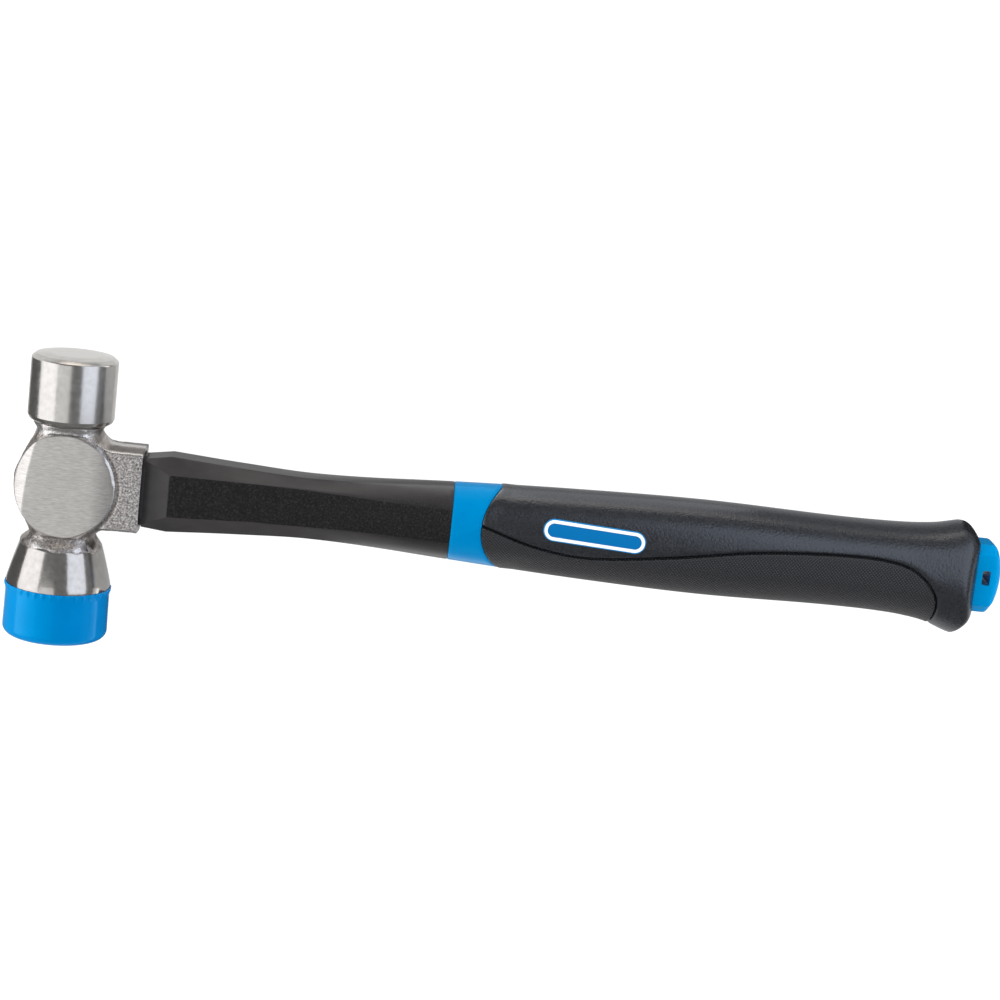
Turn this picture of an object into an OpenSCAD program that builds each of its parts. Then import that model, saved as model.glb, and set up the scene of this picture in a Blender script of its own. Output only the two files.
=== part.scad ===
// Two-faced shop hammer: a forged steel head with a round steel face on one side and a
// replaceable plastic tip on the other, on a fibreglass core handle with a moulded grip.
// While it is being drawn, X runs along the handle from the head to the butt, Y along the
// head from the plastic tip to the steel face, and Z is up, through the flat cheeks.
// The hammer lies on its side, so in_frame() then lifts it onto Z = 0.

/* [Steel face and neck] */
// Diameter of the turned poll
face_d = 28.4; // [26:0.1:32]
// Height of the steel face above the handle's axis
face_reach = 42.9; // [41:0.1:52]
// Diameter of the flat middle of the striking face
face_flat_d = 18; // [10:0.5:22]
// How far the face falls away from its flat middle to its chamfer
face_crown = 0.6; // [0.2:0.1:1.2]
// Chamfer around the striking face
face_chamfer = 1.3; // [0.4:0.1:2]
// Length of the turned part of the poll
poll_l = 20.8; // [16:0.1:21.8]
// Diameter of the forged necks on both sides of the eye
neck_d = 20.6; // [18:0.1:23]
// Radius of the forged fillets between the necks and the body
neck_fillet = 7.5; // [4:0.5:9]

/* [Body and socket] */
// Diameter of the body around the eye
body_d = 34.6; // [34:0.1:40]
// Distance from the head's axis to the flat face that the eye opens in
eye_face = 16.5; // [15:0.1:16.8]
// Thickness of the body between its flats
body_t = 20; // [18:0.1:24]
// How far the body's round side falls back at its two flats
side_fall = 1; // [0.5:0.1:1.5]
// Diameter of the ground cheek on each flat
cheek_d = 32; // [26:0.1:32.4]
// How far the ground cheeks sit from the head's axis, towards the handle
cheek_shift = 0.7; // [0:0.1:1]
// How far each ground cheek stands proud of the flat
cheek_rise = 0.4; // [0.2:0.1:1]
// How far the socket reaches along the handle from the head's axis
socket_reach = 25.4; // [22:0.1:32]
// Height of the socket at its parting line
socket_h = 28.4; // [28:0.1:34]
// Thickness of the socket
socket_t = 19.4; // [17:0.1:19.8]
// Draft from the parting line to each side of the socket
socket_draft = 1.0; // [0.5:0.1:1.5]
// Radius of the socket's long edges
socket_edge_r = 2.2; // [1:0.1:3]
// Radius of the fillets between the necks and the socket
socket_fillet = 3; // [1.5:0.1:4]
// Height of the eye
eye_h = 24; // [20:0.1:24.2]
// Width of the eye
eye_w = 13; // [10:0.1:14]
// Chamfer on the eye's corners
eye_chamfer = 3.6; // [2:0.1:5]
// Depth of the wider mouth of the eye
mouth_depth = 3; // [1.5:0.1:5]
// How much wider the mouth is than the eye, on each side
mouth_relief = 0.6; // [0.3:0.1:0.9]
// Distance from the flat face to the end of the handle's tenon, which the resin fills
resin_l = 6; // [4:0.5:10]
// How far the resin has sunk below the flat face
resin_sink = 0.4; // [0.2:0.1:1]

/* [Cone and plastic tip] */
// Distance from the handle's axis to the top of the polished cone
cone_start = 20.8; // [20.2:0.1:24]
// Diameter of the cone at its top
cone_d1 = 27; // [24:0.1:28]
// Diameter of the cone where it meets the tip
cone_d2 = 34.3; // [31:0.1:34.4]
// Length of the cone
cone_l = 14.6; // [12:0.1:20]
// Diameter of the plastic tip
tip_d = 34.9; // [32:0.1:36]
// How much the ribbed lip of the tip stands out all round
lip_rise = 0.25; // [0.1:0.05:0.6]
// Height of the ribbed lip
lip_h = 2.4; // [1.5:0.1:4]
// Height of the plastic tip
tip_h = 17.7; // [15:0.1:24]
// Radius of the edge of the tip's striking face
tip_edge_r = 3.5; // [1.5:0.1:5]
// Depth of the recess that takes the end of the cone
seat_depth = 0.6; // [0.4:0.1:1.2]
// Diameter of the spigot that carries the tip
spigot_d = 20; // [16:0.1:22]
// Length of the spigot below the cone
spigot_l = 11; // [8:0.1:12]

/* [Handle] */
// Height of the handle where the ramps behind the socket end
ramp_h = 25.4; // [24:0.1:30]
// Distance from the head's axis to the end of the ramps
ramp_x = 34.4; // [33:0.1:40]
// Height of the handle at its waist
waist_h = 20.8; // [18:0.1:24]
// Distance from the head's axis to the waist
waist_x = 82; // [74:1:90]
// Depth of the faceted neck, cheek side to cheek side
stem_t = 18; // [15:0.1:20]
// Height of the flats on the two sides of the faceted neck
stem_flat_h = 14.6; // [12:0.1:16]
// Width of the flats on the top and bottom of the faceted neck
stem_flat_w = 9.6; // [7:0.1:11]
// Distance from the head's axis to the blue band
band_x = 127.7; // [118:0.1:134]
// Height of the handle at the blue band
band_h = 26.2; // [24:0.1:30]
// Depth of the handle at the blue band
band_t = 23; // [20:0.1:26]
// Length of the blue band on the middle of the cheek side
band_l = 10.4; // [7:0.1:16]
// Height of the fibreglass core
core_h = 13; // [9:0.1:14]
// Width of the fibreglass core
core_w = 7; // [5:0.1:8]
// Height of the jacket's straight tail under the grip
tail_h = 19; // [17:0.1:20]
// Width of the jacket's straight tail under the grip
tail_w = 13; // [11:0.1:14]

/* [Grip] */
// Distance from the head's axis to the grip's thickest place
belly_x = 212; // [200:1:226]
// Height of the grip at its thickest place
belly_h = 32; // [30:0.1:38]
// Depth of the grip at its thickest place
belly_t = 26; // [24.5:0.1:30]
// How far the middle of the grip sits below the handle's axis
grip_drop = 0.3; // [0:0.1:0.8]
// Distance from the head's axis to the slimmer place behind the belly
hip_x = 256; // [246:1:264]
// Height of the grip behind the belly
hip_h = 30.4; // [28:0.1:34]
// Distance from the back end of the textured side to the fullest part of the butt
butt_x = 8.9; // [7:0.1:14]
// Height of the flared butt above the handle's axis
butt_up = 18.1; // [17:0.1:22]
// Height of the flared butt below the handle's axis
butt_down = 21.2; // [18:0.1:24]
// Depth of the flared butt
butt_t = 28; // [25:0.1:32]
// Distance from the fullest part of the butt to the crown of its end
butt_end = 7.5; // [5:0.1:10]
// Radius of the crown on the butt's end, seen from the side
butt_crown_r = 32; // [32:1:60]
// Radius of the crown on the butt's end, seen from above
butt_dome_r = 22; // [20:1:60]
// How far the crowns of the butt and of its plug sit above the handle's axis
crown_rise = 1.5; // [0:0.1:2]
// Radius of the arc at the grip's front edge
front_r = 20.3; // [18:0.1:26]
// Height of the blue sleeve under the grip
sleeve_h = 23.6; // [22:0.1:25]
// Width of the blue sleeve under the grip
sleeve_w = 17.6; // [16:0.1:19]
// Radius of the sleeve's long edges
sleeve_r = 6; // [3:0.5:8]
// Width of the groove between the grip's two textures
groove_w = 1.2; // [0.8:0.1:2]
// How far the textured side runs back from the grip's front edge
inlay_l = 152; // [140:1:156]

/* [Badge and butt plug] */
// Length of the pill-shaped badge
badge_l = 34.2; // [26:0.1:40]
// Height of the badge
badge_h = 7.4; // [5:0.1:8]
// Distance from the grip's front edge to the badge's middle
badge_x = 37; // [30:0.5:44]
// Height of the badge's middle above the handle's axis
badge_y = 2.2; // [1:0.1:4]
// Slope of the badge along the handle, in degrees
badge_turn = -2.8; // [-5:0.1:2]
// Depth of the badge's pocket below the grip's side
badge_depth = 1.8; // [1.2:0.1:2.4]
// How far the plug stands out of the butt
plug_out = 5.9; // [5:0.1:10]
// Depth of the plug inside the grip
plug_in = 8; // [5:0.1:12]
// Height of the plug
plug_h = 23.2; // [18:0.1:23.2]
// Width of the plug
plug_w = 17.2; // [12:0.1:17.2]
// Cut along the plug's four long corners
plug_cut = 3; // [1:0.1:4]
// Radius of the plug's end corners
plug_corner_r = 5; // [2:0.1:5]
// Chamfer on the plug's two long end edges
plug_chamfer = 2.5; // [1:0.1:4]
// How far the plug's end is crowned
plug_crown = 2; // [0.5:0.1:2.4]
// Height of the lanyard slot through the plug
slot_h = 5; // [3.5:0.1:7]
// Width of the lanyard slot
slot_w = 2.7; // [2:0.1:3.2]

/* [Clearances] */
// Gap between the handle's tenon and the eye
bond_gap = 0.2; // [0.1:0.05:0.4]
// Radial running gap between the tip's bore and the spigot
spigot_gap = 0.05; // [0.02:0.01:0.09]
// Gap between the end of the cone and the tip's recess
seat_gap = 0.1; // [0.05:0.05:0.3]
// Gap around the badge in its pocket
badge_gap = 0.1; // [0.05:0.05:0.2]
// Gap between the plug and the grip around it
plug_gap = 0.2; // [0.1:0.05:0.4]

/* [Hidden] */
$fn = 64;
eps = 0.01;

// Head levels along Y, measured from the handle's axis
poll_start = face_reach - poll_l;
cone_end = cone_start + cone_l;
tip_top = cone_end - seat_depth;
tip_bottom = tip_top + tip_h;
bore_depth = spigot_l + 1;

// Handle places along X, measured from the head's axis
grip_x = band_x + band_l;
inlay_end_x = grip_x + inlay_l;
flare_x = inlay_end_x + butt_x;
crown_x = flare_x + butt_end;
plug_end_x = crown_x + plug_out;
tenon_x = resin_l - eye_face;
core_end_x = crown_x - plug_in - 1;

// The box of the whole hammer, which sets its origin
lip_r = tip_d / 2 + lip_rise;
x_middle = (plug_end_x - max(lip_r, eye_face)) / 2;
y_middle = (face_reach - tip_bottom) / 2;
rest_height = lip_r;

// Handle stations: place, half height up, half height down, half depth, roundness.
// Roundness 0 is the octagonal neck and 1 is the oval grip.
grip_up = belly_h / 2 - grip_drop;
grip_down = belly_h / 2 + grip_drop;
hip_up = hip_h / 2 - grip_drop;
hip_down = hip_h / 2 + grip_drop;
stations = [
  [ramp_x, ramp_h / 2, ramp_h / 2, stem_t / 2, 0],
  [(ramp_x + waist_x) / 2, mix(waist_h, ramp_h, 0.33) / 2, mix(waist_h, ramp_h, 0.33) / 2,
   stem_t / 2, 0],
  [waist_x, waist_h / 2, waist_h / 2, stem_t / 2, 0.15],
  [band_x, band_h / 2, band_h / 2, band_t / 2, 1],
  [(band_x + belly_x) / 2, mix(band_h / 2, grip_up, 0.67), mix(band_h / 2, grip_down, 0.67),
   mix(band_t, belly_t, 0.67) / 2, 1],
  [belly_x, grip_up, grip_down, belly_t / 2, 1],
  [hip_x, hip_up, hip_down, belly_t / 2, 1],
  [mix(hip_x, flare_x, 0.5), mix(hip_up, butt_up, 0.08), mix(hip_down, butt_down, 0.08),
   mix(belly_t, butt_t, 0.3) / 2, 1],
  [mix(hip_x, flare_x, 0.77), mix(hip_up, butt_up, 0.38), mix(hip_down, butt_down, 0.38),
   mix(belly_t, butt_t, 0.7) / 2, 1],
  [flare_x, butt_up, butt_down, butt_t / 2, 1],
  [crown_x + 2, butt_up, butt_down, butt_t / 2, 1]
];
ring_step = 4;
side_steps = 5;

// The groove's path on the grip's side: share of inlay_l back from the front edge,
// then the height above the handle's axis as a share of the belly's half height.
groove_path = [[-0.03, 0.11], [0, 0.09], [0.12, -0.25], [0.24, -0.36], [0.41, -0.16],
               [0.6, 0.14], [0.79, 0.27], [0.9, 0.23], [0.96, 0], [1, -0.5], [1, -1.1]];

// Cubic through the middle two of four table values, with the slopes of their neighbours
function slope(t, k, c) =
  let (a = max(k - 1, 0), b = min(k + 1, len(t) - 1))
  (t[b][c] - t[a][c]) / (t[b][0] - t[a][0]);
function span(t, x, k = 0) = (k >= len(t) - 2 || x < t[k + 1][0]) ? k : span(t, x, k + 1);
function along(t, x, c) =
  let (k = span(t, x), w = t[k + 1][0] - t[k][0], u = (x - t[k][0]) / w)
  t[k][c] * (1 + 2 * u) * pow(1 - u, 2) + t[k + 1][c] * u * u * (3 - 2 * u)
  + w * u * (1 - u) * (slope(t, k, c) * (1 - u) - slope(t, k + 1, c) * u);
function mix(a, b, u) = a + (b - a) * u;
function clamp(v) = min(max(v, 0), 1);

// One ring of the handle in the YZ plane: an octagon whose points slide onto an oval
function oct_corners(up, down, d, flat_h, flat_w) = [
  [flat_h / 2, d], [up, flat_w / 2], [up, -flat_w / 2], [flat_h / 2, -d],
  [-flat_h / 2, -d], [-down, -flat_w / 2], [-down, flat_w / 2], [-flat_h / 2, d]];
function to_oval(p, up, down, d) =
  let (h = p[0] > 0 ? up : down, k = sqrt(pow(p[0] / h, 2) + pow(p[1] / d, 2))) p / k;
function ring(x) =
  let (up = along(stations, x, 1), down = along(stations, x, 2), d = along(stations, x, 3),
       round_part = clamp(along(stations, x, 4)),
       c = oct_corners(up, down, d, stem_flat_h, stem_flat_w))
  [for (i = [0:7], j = [0:side_steps - 1])
    let (p = c[i] + (c[(i + 1) % 8] - c[i]) * j / side_steps,
         q = p + (to_oval(p, up, down, d) - p) * round_part)
    [x, q[0], q[1]]];

// Closed skin over the handle's rings from x0 to x1
module handle_loft(x0, x1) {
  steps = ceil((x1 - x0) / ring_step);
  n = 8 * side_steps;
  points = [for (i = [0:steps]) each ring(x0 + (x1 - x0) * i / steps)];
  skin = [for (i = [0:steps - 1], j = [0:n - 1])
    let (a = i * n + j, b = i * n + (j + 1) % n)
    each [[a, b, a + n], [b, b + n, a + n]]];
  start_cap = [for (j = [n - 1:-1:0]) j];
  end_cap = [for (j = [0:n - 1]) steps * n + j];
  polyhedron(points = points, faces = concat([start_cap, end_cap], skin));
}

// Stands a flat outline drawn in YZ up along X, from x0 over length l
module along_handle(x0, l) {
  translate([x0, 0, 0])
    rotate([90, 0, 90])
      linear_extrude(height = l)
        children();
}

// Turns an outline drawn as radius and height around the head's axis
module around_head() {
  rotate([-90, 0, 0])
    rotate_extrude($fn = 96)
      children();
}

// Rectangle with its four corners cut, h along Y and w along Z
module cut_rectangle(h, w, c) {
  polygon([[h / 2 - c, w / 2], [h / 2, w / 2 - c], [h / 2, c - w / 2], [h / 2 - c, -w / 2],
           [c - h / 2, -w / 2], [-h / 2, c - w / 2], [-h / 2, w / 2 - c], [c - h / 2, w / 2]]);
}

// Rectangle with four round corners, h along Y and w along Z
module round_rectangle(h, w, r) {
  square([h - 2 * r, w], center = true);
  square([h, w - 2 * r], center = true);
  for (y = [r - h / 2, h / 2 - r], z = [r - w / 2, w / 2 - r])
    translate([y, z])
      circle(r = r);
}

// Carries the drawn piece to the hammer's own origin, under the middle of its box
module in_frame() {
  translate([-x_middle, -y_middle, rest_height])
    children();
}

// The turned poll with its shoulder, chamfer and crowned face
module poll() {
  r = face_d / 2;
  chamfer_r = r - face_chamfer;
  shoulder = (r - neck_d / 2) / 2;
  around_head()
    polygon([[0, 0], [neck_d / 2, 0], [neck_d / 2, poll_start - shoulder],
             [r - 0.5, poll_start - 0.5], [r, poll_start],
             [r, face_reach - face_crown - face_chamfer],
             [chamfer_r, face_reach - face_crown], [face_flat_d / 2, face_reach],
             [0, face_reach]]);
}

// The polished cone, its shoulder and the spigot under it
module cone() {
  r1 = cone_d1 / 2;
  around_head()
    polygon([[0, 0], [0, -cone_end - spigot_l], [spigot_d / 2 - 0.6, -cone_end - spigot_l],
             [spigot_d / 2, -cone_end - spigot_l + 0.6], [spigot_d / 2, -cone_end],
             [cone_d2 / 2, -cone_end], [r1, -cone_start - 1], [r1 - 1, -cone_start],
             [neck_d / 2, -cone_start], [neck_d / 2, 0]]);
}

// Forged fillets from the necks into the body, as one turned form between the flats
module neck_fillets() {
  core_r = body_d / 2 - 0.6;
  arc_x = neck_d / 2 + neck_fillet;
  arc_y = sqrt(pow(core_r + neck_fillet, 2) - pow(arc_x, 2));
  intersection() {
    around_head()
      difference() {
        translate([0, -arc_y])
          square([arc_x * core_r / (core_r + neck_fillet), 2 * arc_y]);
        for (y = [-arc_y, arc_y])
          translate([arc_x, y])
            circle(r = neck_fillet);
      }
    cube([2 * body_d, 4 * arc_y, body_t], center = true);
  }
}

// The body: a puck with full sides, and a ground cheek on each flat
module body() {
  side_r = (pow(body_t / 2, 2) + side_fall * side_fall) / (2 * side_fall);
  rotate_extrude($fn = 96)
    intersection() {
      translate([0, -body_t / 2])
        square([body_d / 2, body_t]);
      translate([body_d / 2 - side_r, 0])
        circle(r = side_r, $fn = 128);
    }
  translate([cheek_shift, 0, 0])
    cylinder(d = cheek_d, h = body_t + 2 * cheek_rise, center = true, $fn = 96);
}

// The forged fillets between the two necks and the socket's drafted sides
module socket_fillets() {
  corner_x = neck_d / 2 + socket_fillet;
  corner_y = socket_h / 2 - socket_draft / 2 + socket_fillet;
  for (s = [0, 1])
    mirror([0, s, 0])
      linear_extrude(height = socket_t - 4 * socket_edge_r, center = true)
        difference() {
          translate([0, corner_y - socket_fillet - 1])
            square([corner_x, socket_fillet + 1]);
          translate([corner_x, corner_y])
            circle(r = socket_fillet);
        }
}

// The socket's outline: drafted to both sides of the parting line, with round long edges
module socket_outline() {
  round_rectangle(socket_h - 2 * socket_draft, socket_t, socket_edge_r);
  z = socket_t / 2 - socket_edge_r;
  for (s = [-1, 1])
    polygon([[0, -z], [s * (socket_h / 2 - socket_draft), -z], [s * socket_h / 2, 0],
             [s * (socket_h / 2 - socket_draft), z], [0, z]]);
}

module head_forging() {
  color("silver")
    difference() {
      union() {
        poll();
        cone();
        neck_fillets();
        socket_fillets();
        body();
        along_handle(0, socket_reach)
          socket_outline();
      }
      translate([-eye_face - body_d, -body_d / 2, -body_t])
        cube([body_d, body_d, 2 * body_t]);
      along_handle(-body_d, body_d + socket_reach + eps)
        cut_rectangle(eye_h, eye_w, eye_chamfer);
      along_handle(socket_reach - mouth_depth, mouth_depth + eps)
        cut_rectangle(eye_h + 2 * mouth_relief, eye_w + 2 * mouth_relief, eye_chamfer);
    }
}

module tip_cap() {
  r = tip_d / 2;
  recess_r = cone_d2 / 2 + seat_gap;
  bore_r = spigot_d / 2 + spigot_gap;
  floor_y = -cone_end - seat_gap;
  color("deepskyblue")
    difference() {
      around_head()
        union() {
          translate([0, -tip_bottom])
            square([r - tip_edge_r, tip_h]);
          translate([0, -tip_bottom + tip_edge_r])
            square([r, tip_h - tip_edge_r]);
          translate([r - tip_edge_r, -tip_bottom + tip_edge_r])
            circle(r = tip_edge_r);
          translate([0, -tip_top - lip_h])
            square([lip_r, lip_h]);
        }
      around_head()
        translate([0, floor_y])
          square([recess_r, seat_depth + seat_gap + 1]);
      around_head()
        translate([0, -cone_end - bore_depth])
          square([bore_r, bore_depth + 1]);
    }
}

module eye_resin() {
  color("goldenrod")
    intersection() {
      along_handle(resin_sink - eye_face, resin_l - resin_sink)
        cut_rectangle(eye_h, eye_w, eye_chamfer);
      cylinder(r = body_d / 2 - side_fall - resin_sink, h = body_t, center = true, $fn = 96);
    }
}

module handle_core() {
  color("tan")
    along_handle(tenon_x, core_end_x - tenon_x)
      cut_rectangle(core_h, core_w, 1.5);
}

module handle_jacket() {
  h = eye_h - 2 * bond_gap;
  w = eye_w - 2 * bond_gap;
  color("dimgray")
    difference() {
      union() {
        along_handle(tenon_x, socket_reach + 1 - tenon_x)
          cut_rectangle(h, w, eye_chamfer);
        ramp(h, w);
        handle_loft(ramp_x, band_x);
        along_handle(band_x - 1, core_end_x + 1 - band_x)
          cut_rectangle(tail_h, tail_w, 2);
      }
      along_handle(tenon_x - 1, core_end_x + 2 - tenon_x)
        cut_rectangle(core_h, core_w, 1.5);
    }
}

// The ramps behind the socket: from the tenon's outline up to the faceted neck's
module ramp(h, w) {
  first = oct_corners(h / 2, h / 2, w / 2, h - 2 * eye_chamfer, w - 2 * eye_chamfer);
  last = oct_corners(ramp_h / 2, ramp_h / 2, stem_t / 2, stem_flat_h, stem_flat_w);
  points = concat([for (p = first) [socket_reach + 0.8, p[0], p[1]]],
                  [for (p = last) [ramp_x, p[0], p[1]]]);
  sides = [for (j = [0:7]) each [[j, (j + 1) % 8, j + 8], [(j + 1) % 8, (j + 1) % 8 + 8, j + 8]]];
  polyhedron(points = points,
             faces = concat([[for (j = [7:-1:0]) j], [for (j = [8:15]) j]], sides));
}

// Everything behind the arc at the grip's front edge, less a setback all along it
module behind_front(setback) {
  translate([grip_x + front_r, 0, 0])
    linear_extrude(height = 2 * butt_t, center = true)
      union() {
        circle(r = front_r - setback, $fn = 128);
        translate([0, -2 * butt_down])
          square([plug_end_x, 4 * butt_down]);
      }
}

// Everything in front of the crown on the butt's end, which is full both ways
module before_crown() {
  intersection() {
    translate([0, crown_rise, 0])
      crown_side(butt_crown_r);
    rotate([90, 0, 0])
      crown_side(butt_dome_r);
  }
}

// A block that ends in an arc of radius r through the crown of the butt's end
module crown_side(r) {
  reach = 2 * butt_down;
  linear_extrude(height = 2 * reach, center = true)
    union() {
      intersection() {
        translate([crown_x - r, 0])
          circle(r = r, $fn = 160);
        translate([crown_x - r, -r])
          square([r, 2 * r]);
      }
      translate([0, -reach])
        square([crown_x - r, 2 * reach]);
    }
}

module grip_sleeve() {
  back_x = core_end_x + 1;
  color("deepskyblue")
    difference() {
      union() {
        difference() {
          handle_loft(band_x, grip_x + front_r);
          behind_front(0);
        }
        along_handle(band_x + 1, back_x - band_x - 1)
          round_rectangle(sleeve_h, sleeve_w, sleeve_r);
      }
      along_handle(band_x - 1, back_x + 2 - band_x)
        cut_rectangle(tail_h, tail_w, 2);
    }
}

// The whole grip's form with the sleeve's and the plug's space taken out of it
module grip_form() {
  difference() {
    intersection() {
      handle_loft(grip_x - 1, crown_x + 2);
      behind_front(0);
      before_crown();
    }
    along_handle(band_x, core_end_x + 1 - band_x)
      round_rectangle(sleeve_h, sleeve_w, sleeve_r);
    along_handle(core_end_x, plug_end_x - core_end_x)
      cut_rectangle(plug_h + 2 * plug_gap, plug_w + 2 * plug_gap, plug_cut);
  }
}

// The area below the groove, widened by half of it or narrowed by a negative amount
module below_groove(widen) {
  points = [for (i = [0:4 * (len(groove_path) - 1)])
    let (k = min(floor(i / 4), len(groove_path) - 2), u = i / 4 - k, m = len(groove_path) - 1,
         a = groove_path[max(k - 1, 0)], b = groove_path[k],
         c = groove_path[k + 1], d = groove_path[min(k + 2, m)],
         p = b + (c - a) * u / 2 + (2 * a - 5 * b + 4 * c - d) * u * u / 2
             + (3 * b - a - 3 * c + d) * u * u * u / 2)
    [grip_x + p[0] * inlay_l, p[1] * belly_h / 2]];
  last = len(points) - 1;
  side = [for (i = [0:last])
    let (t = points[min(i + 1, last)] - points[max(i - 1, 0)])
    points[i] + [-t[1], t[0]] * widen / norm(t)];
  linear_extrude(height = 2 * butt_t, center = true)
    polygon(concat(side, [[side[last][0], -2 * butt_down], [side[0][0], -2 * butt_down]]));
}

// The pill outline of the badge, as a block through the grip's side
module badge_block(grow) {
  r = badge_h / 2 + grow;
  reach = badge_l / 2 - badge_h / 2;
  translate([grip_x + badge_x, badge_y, belly_t / 2 - badge_depth])
    rotate([0, 0, badge_turn])
      linear_extrude(height = belly_t)
        union() {
          square([2 * reach, 2 * r], center = true);
          for (s = [-1, 1])
            translate([s * reach, 0])
              circle(r = r);
        }
}

module grip_shell() {
  color([0.2, 0.2, 0.21])
    difference() {
      grip_form();
      below_groove(groove_w / 2);
      badge_block(badge_gap);
    }
}

module grip_inlay() {
  color([0.16, 0.17, 0.19])
    intersection() {
      grip_form();
      below_groove(-groove_w / 2);
    }
}

module badge() {
  color("white")
    intersection() {
      handle_loft(grip_x - 1, belly_x);
      badge_block(0);
    }
}

// The plug's outline seen from the side: round corners and a crowned end
module plug_side(x0) {
  crown_r = (pow(plug_h / 2, 2) + pow(plug_crown, 2)) / (2 * plug_crown);
  corner_y = plug_h / 2 - plug_corner_r;
  for (s = [-1, 1]) {
    crown_x_there = plug_end_x - crown_r + sqrt(pow(crown_r, 2) - pow(s * corner_y - crown_rise, 2));
    corner_x = crown_x_there - plug_corner_r;
    translate([x0, min(0, s * plug_h / 2)])
      square([corner_x - x0, plug_h / 2]);
    translate([corner_x, s * corner_y])
      circle(r = plug_corner_r);
  }
  intersection() {
    translate([plug_end_x - crown_r, crown_rise])
      circle(r = crown_r, $fn = 200);
    translate([x0, -corner_y])
      square([plug_end_x, 2 * corner_y]);
  }
}

module butt_plug() {
  x0 = core_end_x + 1;
  slot_x = crown_x + 0.3;
  slot_y = 0.8;
  side_z = plug_w / 2;
  color("deepskyblue")
    difference() {
      intersection() {
        linear_extrude(height = 2 * plug_w, center = true)
          plug_side(x0);
        rotate([90, 0, 0])
          linear_extrude(height = 2 * plug_h, center = true)
            polygon([[x0 - 1, -side_z], [plug_end_x - plug_chamfer, -side_z],
                     [plug_end_x + 1, 1 + plug_chamfer - side_z],
                     [plug_end_x + 1, side_z - plug_chamfer - 1],
                     [plug_end_x - plug_chamfer, side_z], [x0 - 1, side_z]]);
        along_handle(x0 - 1, plug_end_x + 2 - x0)
          cut_rectangle(plug_h + 2 * eps, plug_w + 2 * eps, plug_cut);
      }
      translate([slot_x - slot_w / 2, slot_y - slot_h / 2, -plug_w])
        cube([slot_w, slot_h, 2 * plug_w]);
    }
}

in_frame() head_forging();
in_frame() tip_cap();
in_frame() eye_resin();
in_frame() handle_core();
in_frame() handle_jacket();
in_frame() grip_sleeve();
in_frame() grip_shell();
in_frame() grip_inlay();
in_frame() badge();
in_frame() butt_plug();
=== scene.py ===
"""Looks for a two-faced shop hammer: turned steel face, polished cone with a blue plastic tip,
faceted black handle, blue band and a two-texture rubber grip with a badge and a butt plug.

Shapes are worked out in millimetres from the head's own middle: x runs along the handle to the
butt, y along the head to the steel face, z up out of the cheek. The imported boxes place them."""
import math

import bmesh
import bpy
import numpy as np
from mathutils import Matrix, Vector


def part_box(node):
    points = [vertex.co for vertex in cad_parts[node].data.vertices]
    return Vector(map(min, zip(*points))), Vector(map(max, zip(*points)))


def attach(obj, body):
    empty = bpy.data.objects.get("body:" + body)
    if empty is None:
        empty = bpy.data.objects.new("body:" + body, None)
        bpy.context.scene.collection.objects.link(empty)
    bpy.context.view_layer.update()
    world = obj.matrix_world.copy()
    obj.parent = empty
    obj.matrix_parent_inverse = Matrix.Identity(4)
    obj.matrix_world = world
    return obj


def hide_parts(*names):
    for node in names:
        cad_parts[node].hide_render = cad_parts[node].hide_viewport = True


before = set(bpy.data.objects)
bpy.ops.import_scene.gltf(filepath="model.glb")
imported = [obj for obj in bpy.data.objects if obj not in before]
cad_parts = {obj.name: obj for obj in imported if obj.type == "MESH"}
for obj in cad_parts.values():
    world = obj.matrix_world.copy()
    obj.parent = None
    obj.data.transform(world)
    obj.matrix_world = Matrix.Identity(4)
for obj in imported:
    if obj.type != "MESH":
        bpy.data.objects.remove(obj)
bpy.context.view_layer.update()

MM = 0.001
WELD = 0.001 * MM
TURN = 2 * math.pi

tip_low, tip_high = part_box("tip_cap")
rod_low, rod_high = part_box("handle_core")
ORIGIN = np.array([(tip_low.x + tip_high.x) / 2, (rod_low.y + rod_high.y) / 2,
                   (tip_low.z + tip_high.z) / 2])


def span(node):
    """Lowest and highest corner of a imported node's box, in millimetres from the head's middle."""
    low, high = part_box(node)
    return (np.array(low) - ORIGIN) / MM, (np.array(high) - ORIGIN) / MM


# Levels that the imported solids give
HEAD_LOW, HEAD_HIGH = span("head_forging")
TIP_LOW, TIP_HIGH = span("tip_cap")
JACKET_LOW, JACKET_HIGH = span("handle_jacket")
SLEEVE_LOW, SLEEVE_HIGH = span("grip_sleeve")
SHELL_LOW, SHELL_HIGH = span("grip_shell")
INLAY_LOW, INLAY_HIGH = span("grip_inlay")
BADGE_LOW, BADGE_HIGH = span("badge")
PLUG_LOW, PLUG_HIGH = span("butt_plug")

FACE_Y = HEAD_HIGH[1]
SPIGOT_Y = HEAD_LOW[1]
SOCKET_X = HEAD_HIGH[0]
TIP_TOP, TIP_BOTTOM = TIP_HIGH[1], TIP_LOW[1]
LIP_R = TIP_HIGH[0]
BAND_X = SLEEVE_LOW[0]
GRIP_X = INLAY_LOW[0]
INLAY_END = INLAY_HIGH[0]
BUTT_UP, BUTT_DOWN = SHELL_HIGH[1], -SHELL_LOW[1]
BUTT_X = SHELL_HIGH[0]
PLUG_X = PLUG_HIGH[0]

# Head sizes
FACE_R = 14.2
POLL_Y = 22.1
NECK_R = 10.3
BARREL_R = 17.3
BODY_Z = 10.0
CHEEK_Z = 10.4
EYE_FACE = -16.5
CONE_Y, CONE_END_Y = -20.9, -35.4
CONE_R, CONE_END_R = 13.5, 17.15
SPIGOT_R = 10.0
SOCKET_H, SOCKET_Z, DRAFT = 14.2, 9.7, 1.0
EYE_H, EYE_W, EYE_CUT = 12.0, 6.5, 3.6
MOUTH_GROW, MOUTH_DEPTH = 0.6, 3.0


# ---------------------------------------------------------------- numbers and outlines

def mix(a, b, share):
    return a + (b - a) * share


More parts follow.
